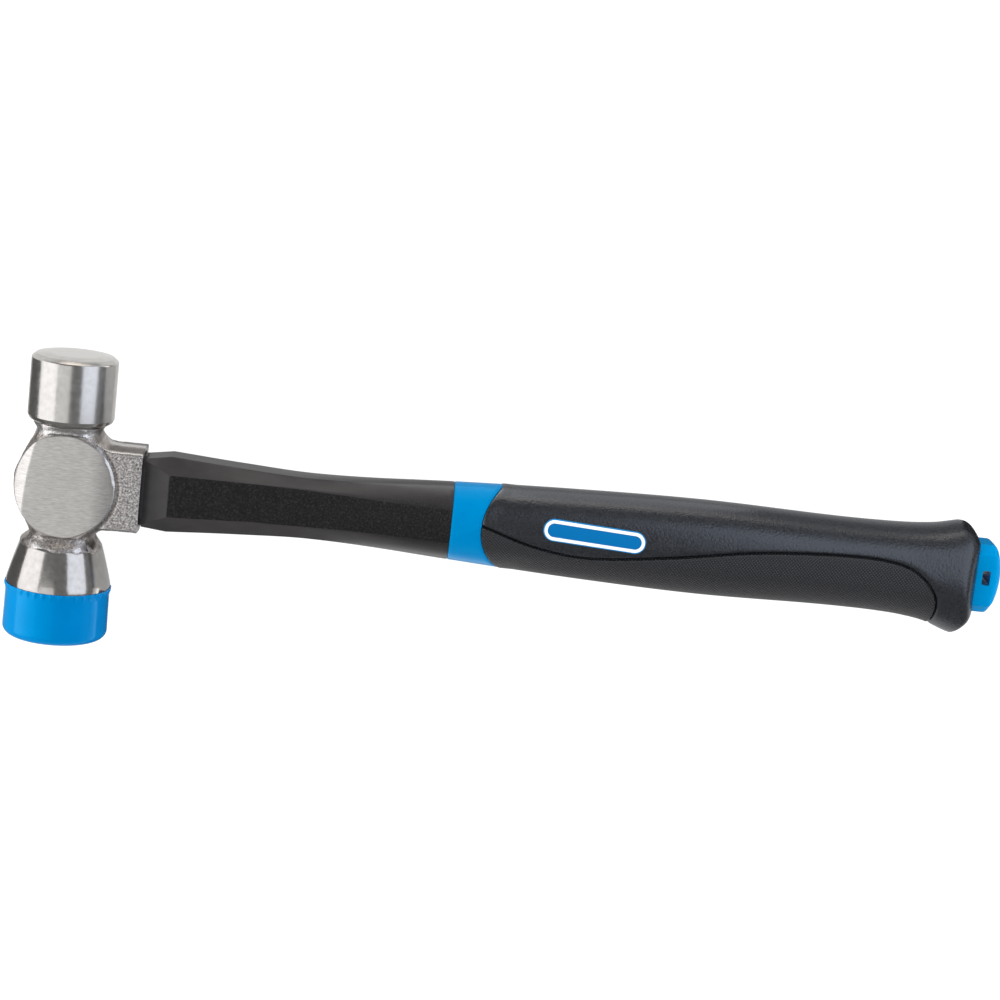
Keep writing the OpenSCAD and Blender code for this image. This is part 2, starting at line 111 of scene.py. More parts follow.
def rise(low, high, value):
    """0 up to low, 1 from high on, and 3t^2 - 2t^3 between."""
    t = np.clip((value - low) / (high - low), 0, 1)
    return t * t * (3 - 2 * t)


def along(table, place, column):
    """Cubic through a table's rows (place, value, ...): Hermite's formula with each row's slope
    taken from the rows on its two sides."""
    t = np.array(table, float)
    x, value = t[:, 0], t[:, column]
    row = np.arange(len(t))
    before, after = np.maximum(row - 1, 0), np.minimum(row + 1, len(t) - 1)
    slope = (value[after] - value[before]) / (x[after] - x[before])
    k = np.clip(np.searchsorted(x, place, side="right") - 1, 0, len(t) - 2)
    width = x[k + 1] - x[k]
    u = (place - x[k]) / width
    return (value[k] * (1 + 2 * u) * (1 - u) ** 2 + value[k + 1] * u * u * (3 - 2 * u)
            + width * u * (1 - u) * (slope[k] * (1 - u) - slope[k + 1] * u))


def lumps(points, size, seed):
    """Smooth random lumps from -1 to 1, about size mm across: random values on a lattice of
    cubes, blended between each cube's eight corners by 3t^2 - 2t^3."""
    table = np.random.default_rng(seed).uniform(-1, 1, (32, 32, 32))
    place = points / size
    cell = np.floor(place).astype(int)
    t = place - cell
    t = t * t * (3 - 2 * t)
    total = 0
    for corner in np.ndindex(2, 2, 2):
        weight = np.prod(np.where(corner, t, 1 - t), axis=-1)
        at = (cell + corner) % 32
        total = total + weight * table[at[..., 0], at[..., 1], at[..., 2]]
    return total


def rounded(corners, steps=6):
    """Outline through corners (a, b, radius), where an arc of that radius stands for each corner:
    its centre lies on the bisector at radius / sin(half the corner's angle)."""
    corners = np.array(corners, float)
    out = [corners[:1, :2]]
    for before, here, after in zip(corners[:-2], corners[1:-1], corners[2:]):
        corner, radius = here[:2], here[2]
        if radius == 0:
            out.append(corner[None])
            continue
        u, v = before[:2] - corner, after[:2] - corner
        u, v = u / np.linalg.norm(u), v / np.linalg.norm(v)
        half = math.acos(np.clip(u @ v, -1, 1)) / 2
        reach = radius / math.tan(half)
        middle = corner + (u + v) / np.linalg.norm(u + v) * radius / math.sin(half)
        first, last = corner + u * reach - middle, corner + v * reach - middle
        t = np.linspace(0, 1, steps + 1)[:, None]
        angle = math.pi - 2 * half
        out.append(middle + (np.sin((1 - t) * angle) * first + np.sin(t * angle) * last)
                   / math.sin(angle))
    out.append(corners[-1:, :2])
    return np.concatenate(out)


# ---------------------------------------------------------------- meshes

def moved(points, axis, value):
    """The same points with one coordinate set to a value."""
    points = points.copy()
    points[..., axis] = value
    return points


def make_mesh(name, points, cells, place, crease):
    """A closed mesh from points in mm, with coincident points merged, faces turned outwards and
    edges sharper than crease degrees kept hard. The attribute place holds (mm along, mm round,
    mark) for the materials."""
    mesh = bpy.data.meshes.new(name)
    mesh.from_pydata((ORIGIN + points * MM).tolist(), [], cells.tolist())
    mesh.attributes.new("place", "FLOAT_VECTOR", "POINT").data.foreach_set(
        "vector", place.astype(np.float32).ravel())
    shape = bmesh.new()
    shape.from_mesh(mesh)
    bmesh.ops.remove_doubles(shape, verts=shape.verts, dist=WELD)
    bmesh.ops.recalc_face_normals(shape, faces=shape.faces)
    shape.to_mesh(mesh)
    shape.free()
    mesh.shade_smooth()
    mesh.set_sharp_from_angle(angle=math.radians(crease))
    piece = bpy.data.objects.new(name, mesh)
    bpy.context.scene.collection.objects.link(piece)
    return piece


def dress(piece, material, nodes, body="hammer"):
    """Gives a piece its material, and says which body it rides on and which solids it replaces."""
    piece.data.materials.append(material)
    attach(piece, body)
    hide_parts(*nodes)
    return piece


def skin(name, sheets, crease=35):
    """Joins sheets, each rows x columns x 3 in mm (or x 6 with the place attribute last), into
    one mesh whose cells join neighbouring rows and columns."""
    points, place, cells, count = [], [], [], 0
    for sheet in sheets:
        rows, columns, depth = sheet.shape
        number = count + np.arange(rows * columns).reshape(rows, columns)
        cells.append(np.stack([number[:-1, :-1], number[:-1, 1:], number[1:, 1:],
                               number[1:, :-1]], -1).reshape(-1, 4))
        flat = sheet.reshape(-1, depth)
        points.append(flat[:, :3])
        place.append(flat[:, 3:] if depth == 6 else np.zeros((len(flat), 3)))
        count += len(flat)
    return make_mesh(name, np.concatenate(points), np.concatenate(cells),
                     np.concatenate(place), crease)


def turned(outline, turns=192, change=None):
    """An outline of (radius, y) carried round the head's axis: x = r sin a, z = r cos a, where
    change(outline, a), where it is given, adds to the radius."""
    a = np.linspace(0, TURN, turns + 1)[None]
    r, y = outline[:, 0, None], outline[:, 1, None] + 0 * a
    if change is not None:
        r = np.where(r > 0, r + change(outline, a), 0)
    return np.stack([r * np.sin(a), y, r * np.cos(a)], -1)


def net(field, low, high, step):
    """Points and cells of the surface field = 0, as a surface net: each cube of the lattice whose
    corners differ in sign gets one point, at the mean of the crossings on its edges, and each
    lattice edge that crosses gets the cell of the four points round it. Newton's step
    p - f grad f / |grad f|^2 then lays every point on the surface."""
    axes = [np.arange(a, b + step, step) for a, b in zip(low, high)]
    lattice = np.stack(np.meshgrid(*axes, indexing="ij"), -1)
    f = field(lattice)
    shape = np.array(f.shape)
    total, hits = np.zeros((*(shape - 1), 3)), np.zeros(shape - 1)
    crossings = []
    for axis in range(3):
        lower = [slice(None)] * 3
        upper = [slice(None)] * 3
        lower[axis], upper[axis] = slice(None, -1), slice(1, None)
        a, b = f[tuple(lower)], f[tuple(upper)]
        cross = (a < 0) != (b < 0)
        at = np.argwhere(cross)
        share = (a[cross] / (a[cross] - b[cross]))[:, None]
        point = lattice[tuple(at.T)] + share * step * np.eye(3)[axis]
        corners = []
        sides = [k for k in range(3) if k != axis]
        for back in ((0, 0), (1, 0), (1, 1), (0, 1)):
            cube = at.copy()
            cube[:, sides[0]] -= back[0]
            cube[:, sides[1]] -= back[1]
            good = np.all((cube >= 0) & (cube < shape - 1), axis=1)
            np.add.at(total, tuple(cube[good].T), point[good])
            np.add.at(hits, tuple(cube[good].T), 1)
            corners.append(np.where(good, np.ravel_multi_index(
                np.clip(cube, 0, shape - 2).T, shape - 1), -1))
        corners = np.stack(corners, -1)
        crossings.append(corners[np.all(corners >= 0, axis=1)])
    used = hits.ravel() > 0
    points = total.reshape(-1, 3)[used] / hits.ravel()[used, None]
    number = np.cumsum(used) - 1
    cells = number[np.concatenate(crossings)]
    nudge = 0.02
    for _ in range(3):
        value = field(points)
        grad = np.stack([field(points + nudge * d) - field(points - nudge * d)
                         for d in np.eye(3)], -1) / (2 * nudge)
        size = np.maximum(np.sum(grad * grad, -1), 0.2)
        points = points - np.clip(value / size, -step, step)[:, None] * grad
    return points, cells


# ---------------------------------------------------------------- materials

def linear(hex_colour):
    """An sRGB hex colour as linear red, green, blue and a full alpha."""
    value = np.array([int(hex_colour[i:i + 2], 16) for i in (1, 3, 5)]) / 255
    value = np.where(value <= 0.04045, value / 12.92, ((value + 0.055) / 1.055) ** 2.4)
    return (*value.tolist(), 1.0)


def per_mm(*lengths):
    """The scale, or one scale for each axis, that brings coordinates in metres to pattern units
    of these lengths in millimetres."""
    scales = tuple(1 / (MM * length) for length in lengths)
    return scales if len(scales) > 1 else scales[0]


def add(tree, kind, inputs=None, stops=(), **settings):
    """Adds a node of a kind, makes its settings, fills its inputs with values or links, and gives
    a colour ramp its stops (position, hex colour)."""
    node = tree.nodes.new("ShaderNode" + kind)
    for name, value in settings.items():
        setattr(node, name, value)
    for key, value in (inputs or {}).items():
        if isinstance(value, bpy.types.NodeSocket):
            tree.links.new(value, node.inputs[key])
        else:
            node.inputs[key].default_value = value
    if stops:
        elements = node.color_ramp.elements
        while len(elements) < len(stops):
            elements.new(1.0)
        for element, (position, tone) in zip(elements, stops):
            element.position = position
            element.color = linear(tone)
    return node


def bare_material(name):
    """An empty material and its tree."""
    material = bpy.data.materials.new(name)
    material.use_nodes = True
    material.node_tree.nodes.clear()
    return material, material.node_tree


def new_material(name):
    """A material with its tree, its Principled shader and the piece's own coordinates."""
    material, tree = bare_material(name)
    shader = add(tree, "BsdfPrincipled")
    add(tree, "OutputMaterial", {"Surface": shader.outputs[0]})
    return material, tree, shader, add(tree, "TexCoord").outputs["Object"]


def marks(tree):
    """The three parts of the place attribute."""
    place = add(tree, "Attribute", attribute_name="place").outputs["Vector"]
    return add(tree, "SeparateXYZ", {0: place}).outputs


def finish(material, shader, patterns, heights, **values):
    """Links patterns to a shader's inputs, sets its plain inputs, and chains height patterns
    (height socket, depth in mm) into its normal."""
    tree = material.node_tree
    for name, socket in patterns.items():
        tree.links.new(socket, shader.inputs[name])
    for name, value in values.items():
        shader.inputs[name.replace("_", " ")].default_value = value
    normal = None
    for height, depth in heights:
        inputs = {"Height": height, "Distance": depth * MM, "Strength": 1.0}
        if normal is not None:
            inputs["Normal"] = normal
        normal = add(tree, "Bump", inputs).outputs[0]
    tree.links.new(normal, shader.inputs["Normal"])
    return material


def turned_steel(name, roughness, groove, tone):
    """Steel turned on a lathe, then polished. Fine rings round the axis, about 0.2 mm apart,
    spread a reflection along the axis and keep its sides sharp."""
    material, tree, shader, place = new_material(name)
    along_axis = add(tree, "Mapping", {"Vector": place, "Scale": per_mm(9, 0.22, 9)}).outputs[0]
    rings = add(tree, "TexNoise", {"Vector": along_axis, "Scale": 1.0, "Detail": 3.0,
                                   "Roughness": 0.6}).outputs[0]
    cloud, pits = (add(tree, "TexNoise", {"Vector": place, "Scale": per_mm(size),
                                          "Detail": detail, "Roughness": 0.6}).outputs[0]
                   for size, detail in ((2.4, 4.0), (0.7, 2.0)))
    colour = add(tree, "ValToRGB", {"Fac": cloud}, [(0.3, tone[0]), (0.7, tone[1])]).outputs[0]
    dull = add(tree, "MapRange", {"Value": cloud, "From Min": 0.3, "From Max": 0.7,
                                  "To Min": roughness * 0.85, "To Max": roughness * 1.2}
               ).outputs[0]
    return finish(material, shader, {"Base Color": colour, "Roughness": dull},
                  [(rings, groove), (pits, 3 * groove)], Metallic=1.0)


def ground_steel():
    """Steel ground flat on a belt. Scratches a few mm long and 0.26 mm apart run along x."""
    material, tree, shader, place = new_material("ground_steel")
    belt = add(tree, "Mapping", {"Vector": place, "Rotation": (0, 0, 0.03),
                                 "Scale": per_mm(2.6, 0.26, 2.6)}).outputs[0]
    lines = add(tree, "TexNoise", {"Vector": belt, "Scale": 1.0, "Detail": 3.0,
                                   "Roughness": 0.6}).outputs[0]
    wide = add(tree, "Mapping", {"Vector": place, "Scale": per_mm(5.0, 3.5, 5.0)}).outputs[0]
    cloud = add(tree, "TexNoise", {"Vector": wide, "Scale": 1.0, "Detail": 3.0,
                                   "Roughness": 0.55}).outputs[0]
    colour = add(tree, "ValToRGB", {"Fac": lines},
                 [(0.3, "#b2afab"), (0.5, "#c3c1bd"), (0.7, "#d4d2cf")]).outputs[0]
    dull = add(tree, "MapRange", {"Value": cloud, "To Min": 0.26, "To Max": 0.4}).outputs[0]
    return finish(material, shader, {"Base Color": colour, "Roughness": dull},
                  [(lines, 0.006)], Metallic=1.0)


def forged_steel():
    """Drop-forged steel: a mottled grey-brown skin that is glossy where it is smooth, and a blasted
    socket with grains of about 0.5 mm. The place attribute holds how much painted shade darkens
    each point, how much shine and painted highlight lighten and gloss it, and how blasted it is."""
    material, tree, shader, place = new_material("forged_steel")
    painted_shade, shine_and_painted_highlight, mark = marks(tree)
    scale, grains = (add(tree, "TexNoise", {"Vector": place, "Scale": per_mm(size),
                                            "Detail": detail, "Roughness": rough}).outputs[0]
                     for size, detail, rough in ((1.6, 6.0, 0.65), (0.65, 2.0, 0.6)))
    mottled = add(tree, "ValToRGB", {"Fac": scale},
                  [(0.32, "#8f8781"), (0.5, "#b6afa9"), (0.68, "#d4cfca")]).outputs[0]
    blasted = add(tree, "ValToRGB", {"Fac": grains},
                  [(0.3, "#716d69"), (0.5, "#b7b3b0"), (0.7, "#f2f0ee")]).outputs[0]
    colour = mottled
    # The light grey mixed in here is partly a painted highlight, and the dark brown is painted
    # shade.
    for share, over in ((mark, blasted), (shine_and_painted_highlight, linear("#d4d2d0")), (painted_shade, linear("#57504b"))):
        colour = add(tree, "MixRGB", {"Fac": share, "Color1": colour, "Color2": over}).outputs[0]
    dull = add(tree, "MapRange", {"Value": mark, "To Min": 0.3, "To Max": 0.45}).outputs[0]
    gloss = add(tree, "MapRange", {"Value": shine_and_painted_highlight, "To Min": dull, "To Max": 0.2}).outputs[0]
    return finish(material, shader, {"Base Color": colour, "Roughness": gloss},
                  [(scale, 0.14), (grains, 0.12)], Metallic=1.0)


def moulded_plastic(name, tones, roughness, grain, level, ior):
    """Solid-coloured moulded plastic with a faint flow cloud and a satin grain of grain mm."""
    material, tree, shader, place = new_material(name)
    cloud = add(tree, "TexNoise", {"Vector": place, "Scale": per_mm(6), "Detail": 3.0}).outputs[0]
    fine = add(tree, "TexNoise", {"Vector": place, "Scale": per_mm(grain), "Detail": 2.0}
               ).outputs[0]
    colour = add(tree, "ValToRGB", {"Fac": cloud}, [(0.3, tones[0]), (0.7, tones[1])]).outputs[0]
    return finish(material, shader, {"Base Color": colour}, [(fine, 0.008)], Roughness=roughness,
                  IOR=ior, Specular_IOR_Level=level, Specular_Tint=linear("#00e8ff"))


def jacket_plastic():
    """Black glass-filled nylon. The two wide flats are spark-eroded to a grain of about 0.5 mm,
    the bevels are left smooth, and the mark in place tells them apart. The smooth bevels get a
    lighter colour than the flats, a painted highlight for the brighter reflections they catch."""
    material, tree, shader, place = new_material("glass_filled_nylon")
    mark = marks(tree)[2]
    grain = add(tree, "TexNoise", {"Vector": place, "Scale": per_mm(0.55), "Detail": 3.0,
                                   "Roughness": 0.7}).outputs[0]
    flow = add(tree, "Mapping", {"Vector": place, "Scale": per_mm(7, 4, 4)}).outputs[0]
    cloud = add(tree, "TexNoise", {"Vector": flow, "Scale": 1.0, "Detail": 3.0}).outputs[0]
    # Painted highlight: the smooth bevels' colour is lighter than the flats'.
    smooth = add(tree, "ValToRGB", {"Fac": cloud}, [(0.3, "#2b292a"), (0.7, "#312f30")]).outputs[0]
    rough = add(tree, "ValToRGB", {"Fac": grain},
                [(0.34, "#060505"), (0.52, "#121111"), (0.7, "#2b292a")]).outputs[0]
    colour = add(tree, "MixRGB", {"Fac": mark, "Color1": smooth, "Color2": rough}).outputs[0]
    dull = add(tree, "MapRange", {"Value": mark, "To Min": 0.3, "To Max": 0.6}).outputs[0]
    deep = add(tree, "Math", {0: grain, 1: mark}, operation="MULTIPLY").outputs[0]
    return finish(material, shader, {"Base Color": colour, "Roughness": dull},
                  [(deep, 0.12), (grain, 0.012)], IOR=1.5, Specular_IOR_Level=0.25)


def pebbled_rubber():
    """Black soft-touch rubber moulded with pebbles about 0.6 mm across."""
    material, tree, shader, place = new_material("pebbled_rubber")
    pebbles = add(tree, "TexVoronoi", {"Vector": place, "Scale": per_mm(0.62)},
                  feature="SMOOTH_F1").outputs["Distance"]
    fine = add(tree, "TexNoise", {"Vector": place, "Scale": per_mm(0.4), "Detail": 2.0}
               ).outputs[0]
    wide = add(tree, "Mapping", {"Vector": place, "Scale": per_mm(9, 6, 6)}).outputs[0]
    cloud = add(tree, "TexNoise", {"Vector": wide, "Scale": 1.0, "Detail": 3.0}).outputs[0]
    colour = add(tree, "ValToRGB", {"Fac": pebbles},
                 [(0.1, "#202123"), (0.45, "#161719"), (0.8, "#0b0c0d")]).outputs[0]
    dull = add(tree, "MapRange", {"Value": cloud, "From Min": 0.3, "From Max": 0.7,
                                  "To Min": 0.24, "To Max": 0.3}).outputs[0]
    return finish(material, shader, {"Base Color": colour, "Roughness": dull},
                  [(pebbles, -0.055), (fine, 0.01)], IOR=1.5, Specular_IOR_Level=0.85,
                  Specular_Tint=linear("#eaf0fa"))


def diamond_rubber():
    """Black rubber moulded with fine diamonds, about 1.1 mm apart: two sets of ridges that cross
    at a right angle, drawn along the grip and round it from the place attribute."""
    material, tree, shader, place = new_material("diamond_rubber")
    unrolled = add(tree, "Attribute", attribute_name="place").outputs["Vector"]
    ridges = []
    for side in (1, -1):
        turn = add(tree, "Mapping", {"Vector": unrolled, "Rotation": (0, 0, side * math.pi / 4),
                                     "Scale": (1.27, 1.27, 1.27)}).outputs[0]
        ridges.append(add(tree, "TexWave", {"Vector": turn, "Scale": 0.314}, wave_type="BANDS",
                          bands_direction="X", wave_profile="TRI").outputs[1])
    diamonds = add(tree, "Math", {0: ridges[0], 1: ridges[1]}, operation="MINIMUM").outputs[0]
    fine = add(tree, "TexNoise", {"Vector": place, "Scale": per_mm(0.5), "Detail": 2.0}
               ).outputs[0]
    colour = add(tree, "ValToRGB", {"Fac": diamonds},
                 [(0.1, "#0c0d0e"), (0.6, "#1e1f22"), (0.9, "#303135")]).outputs[0]
    return finish(material, shader, {"Base Color": colour}, [(diamonds, 0.16), (fine, 0.015)],
                  Roughness=0.4, IOR=1.5, Specular_IOR_Level=0.5)


def badge_plastic():
    """Printed polycarbonate: a thin blue edge, a white border and a plain blue field, told apart
    by the distance from the badge's edge that the place attribute holds."""
    material, tree, shader, place = new_material("printed_polycarbonate")
    depth = marks(tree)[2]
    colour = linear("#006fa8")
    for first, last, tone in ((0.34, 0.46, "#e8e8e6"), (1.36, 1.5, "#006099")):
        share = add(tree, "MapRange", {"Value": depth, "From Min": first, "From Max": last}
                    ).outputs[0]
        colour = add(tree, "MixRGB", {"Fac": share, "Color1": colour, "Color2": linear(tone)}
                     ).outputs[0]
    fine = add(tree, "TexNoise", {"Vector": place, "Scale": per_mm(0.8)}).outputs[0]
    return finish(material, shader, {"Base Color": colour}, [(fine, 0.004)], Roughness=0.28,
                  IOR=1.35, Specular_IOR_Level=0.2)


def glass_fibre():
    """Pultruded glass fibre in clear yellow resin: fibre bundles 0.3 mm wide run along the rod."""
    material, tree, shader, place = new_material("pultruded_glass_fibre")
    strands = add(tree, "Mapping", {"Vector": place, "Scale": per_mm(14, 0.3, 0.3)}).outputs[0]
    fibres = add(tree, "TexNoise", {"Vector": strands, "Scale": 1.0, "Detail": 3.0}).outputs[0]
    colour = add(tree, "ValToRGB", {"Fac": fibres}, [(0.3, "#a9a06c"), (0.7, "#d2cb9f")]
                 ).outputs[0]
    return finish(material, shader, {"Base Color": colour}, [(fibres, 0.03)], Roughness=0.42,
                  IOR=1.52)


def cast_resin():
    """Epoxy poured into the eye: amber, glossy and faintly cloudy, with a slight skin."""
    material, tree, shader, place = new_material("cast_epoxy")
    cloud = add(tree, "TexNoise", {"Vector": place, "Scale": per_mm(3), "Detail": 4.0}).outputs[0]
    colour = add(tree, "ValToRGB", {"Fac": cloud}, [(0.3, "#7a5a22"), (0.7, "#a8823c")]).outputs[0]
    return finish(material, shader, {"Base Color": colour}, [(cloud, 0.08)], Roughness=0.22,
                  IOR=1.55)


POLL_STEEL = turned_steel("turned_steel", 0.2, 0.004, ("#b4b2ae", "#c2c0bc"))
CONE_STEEL = turned_steel("polished_steel", 0.15, 0.003, ("#aeaba7", "#bebbb7"))
CHEEK_STEEL = ground_steel()
FORGED_STEEL = forged_steel()
TIP_PLASTIC = moulded_plastic("moulded_polyurethane", ("#006daa", "#0070ae"), 0.15, 0.9, 0.6, 1.35)
BAND_PLASTIC = moulded_plastic("moulded_polypropylene", ("#006fa6", "#0073aa"), 0.28, 0.7, 0.3,
                               1.3)
PLUG_PLASTIC = moulded_plastic("moulded_nylon", ("#0074aa", "#007ab0"), 0.24, 0.7, 0.3, 1.3)
JACKET_PLASTIC = jacket_plastic()
SHELL_RUBBER = pebbled_rubber()
INLAY_RUBBER = diamond_rubber()


# ---------------------------------------------------------------- the head

def make_poll():
    """The turned steel face: a flat middle, a crowned ring, a rounded chamfer, the cylinder and
    the shoulder that runs into the forged neck."""
    outline = rounded([(0, FACE_Y, 0), (9, FACE_Y, 14), (12.7, FACE_Y - 0.55, 0.9),
                       (FACE_R, FACE_Y - 1.75, 0.8), (FACE_R, POLL_Y, 0.5),
                       (13.6, 20.9, 0.8), (11, 19.2, 1), (9.4, 18.6, 0), (0, 18.6, 0)])
    poll = skin("steel_face", [turned(outline)], crease=30)
    return dress(poll, POLL_STEEL, ["head_forging"])


def make_cone():
    """The polished cone: nearly straight sides with a bulge of 0.13 mm, a short rounded land over
    the tip's lip, and the spigot that the tip sits on."""
    t = np.linspace(0, 1, 13)
    land_y = CONE_END_Y + 1.9
    side = np.stack([mix(CONE_R, CONE_END_R - 0.04, t) + 0.5 * t * (1 - t),
                     mix(CONE_Y, land_y, t)], -1)
    top = rounded([(0, CONE_Y + 2.4, 0), (CONE_R - 1.4, CONE_Y + 0.9, 0.4), (*side[0], 0)])
    end = rounded([(*side[-1], 0), (CONE_END_R, CONE_END_Y, 0.3), (SPIGOT_R, CONE_END_Y, 0),
                   (SPIGOT_R, SPIGOT_Y, 0.6), (0, SPIGOT_Y, 0)])
    outline = np.concatenate([top, side[1:-1], end])
    cone = skin("polished_cone", [turned(outline)], crease=40)
    return dress(cone, CONE_STEEL, ["head_forging"])


def blend_min(a, b, width):
    """The smaller of two distances, rounded where they are within width of each other."""
    h = np.maximum(width - np.abs(a - b), 0)
    return np.minimum(a, b) - h * h / (4 * width)


def blend_max(a, b, radius):
    """The larger of two distances, with the corner between them rounded to a radius."""
    u, v = np.maximum(a + radius, 0), np.maximum(b + radius, 0)
    return np.minimum(np.maximum(a, b), -radius) + np.hypot(u, v)


def bevel_drop(x, y):
    """How far the hand-ground bevel on the side opposite the handle lies below the cheek: with b
    the distance beyond the line x = -12 + 0.107 y + 0.0045 y^2, it falls 0.42 b + 0.05 b^2.
    Towards the handle the cheek falls 0.008 (x - 9)^2."""
    b = np.maximum(-12.0 + 0.107 * y + 0.0045 * y * y - x, 0) * (np.abs(y) < 17)
    return 0.42 * b + 0.05 * b * b + 0.008 * np.clip(x - 9, 0, 8.2) ** 2 * (np.hypot(x, y) < 17.8)


def forging_field(p):
    """Signed distance, about, to the forging: a round body joined in plan to the drafted socket,
    a waisted neck along y that flares at both ends, a ground flat on each side, and the eye."""
    x, y, z = p[..., 0], p[..., 1], p[..., 2]
    lump = lumps(p, 2.3, 3)
    small = lumps(p, 0.9, 4)
    out = np.hypot(x, y)
    far_side = rise(8, 13, -x) * rise(-15, -10, y) * rise(12, 6, y)
    barrel = out - BARREL_R + (z / BODY_Z) ** 2 + 0.55 * far_side
    socket = np.maximum(np.abs(y) - (SOCKET_H - DRAFT * np.abs(z) / SOCKET_Z), -x)
    plan = blend_min(barrel, socket, 5.0)
    level = BODY_Z - (BODY_Z - SOCKET_Z) * rise(BARREL_R - 0.9, BARREL_R + 0.5, out)
    level = level - 0.22 * rise(1.1, 0.2, np.abs(out - 18.2)) * rise(4, 8, x)
    body = blend_max(plan, np.abs(z) - level, 0.9)
    radius = (NECK_R + 3.35 * rise(17.0, 20.9, -y) + 1.5 * rise(17.4, 20.4, y)
              + 0.4 * lumps(p, 4.0, 5) * rise(17, 19, np.abs(y)))
    power = 2.8 - 0.8 * rise(17.5, 20.5, np.abs(y))
    around = (np.abs(x) ** power + np.abs(z) ** power) ** (1 / power)
    neck = np.maximum(around - radius, np.maximum(y - 20.7, -22.7 - y))
    f = blend_min(body, neck, 5.0)
    f = f + 0.16 * lump * rise(10, 12, out) * rise(26, 18, x) * rise(0.2, 1.2, BODY_Z - np.abs(z))
    f = f + 0.05 * small
    flat = np.abs(z) - (BODY_Z + 6 * rise(16.9, 19.5, np.abs(y))) + bevel_drop(x, y)
    f = np.maximum(f, flat)
    f = blend_max(f, np.maximum(x - SOCKET_X, EYE_FACE - x), 0.35)
    wide = MOUTH_GROW * (x > SOCKET_X - MOUTH_DEPTH)
    eye = np.maximum(np.maximum(np.abs(y) - EYE_H, np.abs(z) - EYE_W) - wide,
                     (np.abs(y) + np.abs(z) - (EYE_H + EYE_W - EYE_CUT) - wide) / math.sqrt(2))
    return np.maximum(f, -eye)


def spots(x, y, places):
    """1 inside each of the places (x, y, half width, half height), 0 away from them."""
    return np.max([rise(1.25, 0.7, np.hypot((x - a) / w, (y - b) / h))
                   for a, b, w, h in places], 0)


# Where the necks get painted highlights, and where painted shade darkens the crevices by the socket
PAINTED_SPOT_HIGHLIGHTS = [(-6.0, 17.8, 1.5, 1.7), (5.7, 17.8, 2.2, 1.1), (-6.4, -20.4, 1.7, 1.5),
          (6.7, -20.2, 1.4, 1.2)]
PAINTED_SPOT_SHADE = [(10.2, 17.6, 1.5, 2.6), (10.0, -19.0, 1.9, 2.4)]


def make_forging():
    """The forging as a net, with how much painted shade, shine and blast each point gets: blasted
    on the socket's near and far face and on the necks, less on the tip's side. Painted highlights
    lie on the socket's edges, along the middle of its sides, on spots of the necks and over the
    neck on the face's side; painted shade lies in a band on the socket's sides, in the crevices by
    the socket, over the neck on the tip's side, on the socket next to the barrel and along the
    step at the barrel's edge on the handle's side."""
    points, cells = net(forging_field, (-17.7, -23.2, -14.6), (26.2, 21.4, 14.6), 0.34)
    x, y, z = points.T
    high, out = np.abs(z), np.hypot(x, y)
    top = rise(4, 7, high)
    socket = rise(15.5, 17.5, out) * rise(6, 12, x)
    neck = rise(16.2, 17.2, np.abs(y)) * rise(12, 9, np.abs(x)) * top
    blast = np.maximum(socket * rise(9.0, 9.4, high), np.where(y > 0, 1.0, 0.8) * neck)
    side = rise(12.7, 13.1, np.abs(y)) * rise(12, 15, x)
    rim = np.maximum(rise(12.2, 12.6, np.abs(y)), rise(25.1, 25.5, x)) * rise(8.6, 9.0, high)
    # Painted highlight: lighter spots on the necks, the socket's edges, a strip along the middle of
    # the socket's sides and the neck on the face's side.
    painted_spot_highlight = 0.75 * spots(x, y, PAINTED_SPOT_HIGHLIGHTS) * top
    shine_and_painted_highlight = np.maximum(0.9 * side * rise(2.2, 1.0, high), np.maximum(0.85 * rim * socket, painted_spot_highlight))
    shine_and_painted_highlight = np.maximum(shine_and_painted_highlight, 0.55 * neck * (y > 0))
    # Painted shade: a band on the socket's sides, the crevices by the socket, the neck on the tip's
    # side and the socket next to the barrel.
    painted_shade = np.maximum(0.9 * side * rise(1.6, 3.6, high) * rise(8.8, 7.8, high),
                      np.maximum(0.65 * spots(x, y, PAINTED_SPOT_SHADE), 0.25 * neck * (y < 0)))
    painted_shade = np.maximum(painted_shade * (1 - painted_spot_highlight), 0.35 * socket * rise(20.5, 17.5, out))
    # Painted shadow along the step at the barrel's edge, on the handle's side.
    painted_step_shadow = rise(1.0, 0.4, np.abs(out - 17.9)) * rise(6, 10, x) * rise(9, 9.2, high)
    place = np.stack([np.maximum(painted_shade, 0.6 * painted_step_shadow), shine_and_painted_highlight, blast], -1)
    forging = make_mesh("forging", points, cells, place, 50)
    return dress(forging, FORGED_STEEL, ["head_forging"])


# The cheek's outline: angle in degrees from the handle's direction, then the radius
CHEEK_EDGE = [(0, 16.5), (30, 17.0), (62, 17.0), (80, 17.3), (100, 17.3), (118, 17.6),
              (140, 16.9), (165, 16.6), (190, 16.5), (210, 16.5), (228, 16.6), (240, 17.0),
              (262, 16.9), (280, 17.0), (300, 16.6), (330, 16.6), (360, 16.5)]
CHEEK_X, CHEEK_Y = 0.5, -0.2


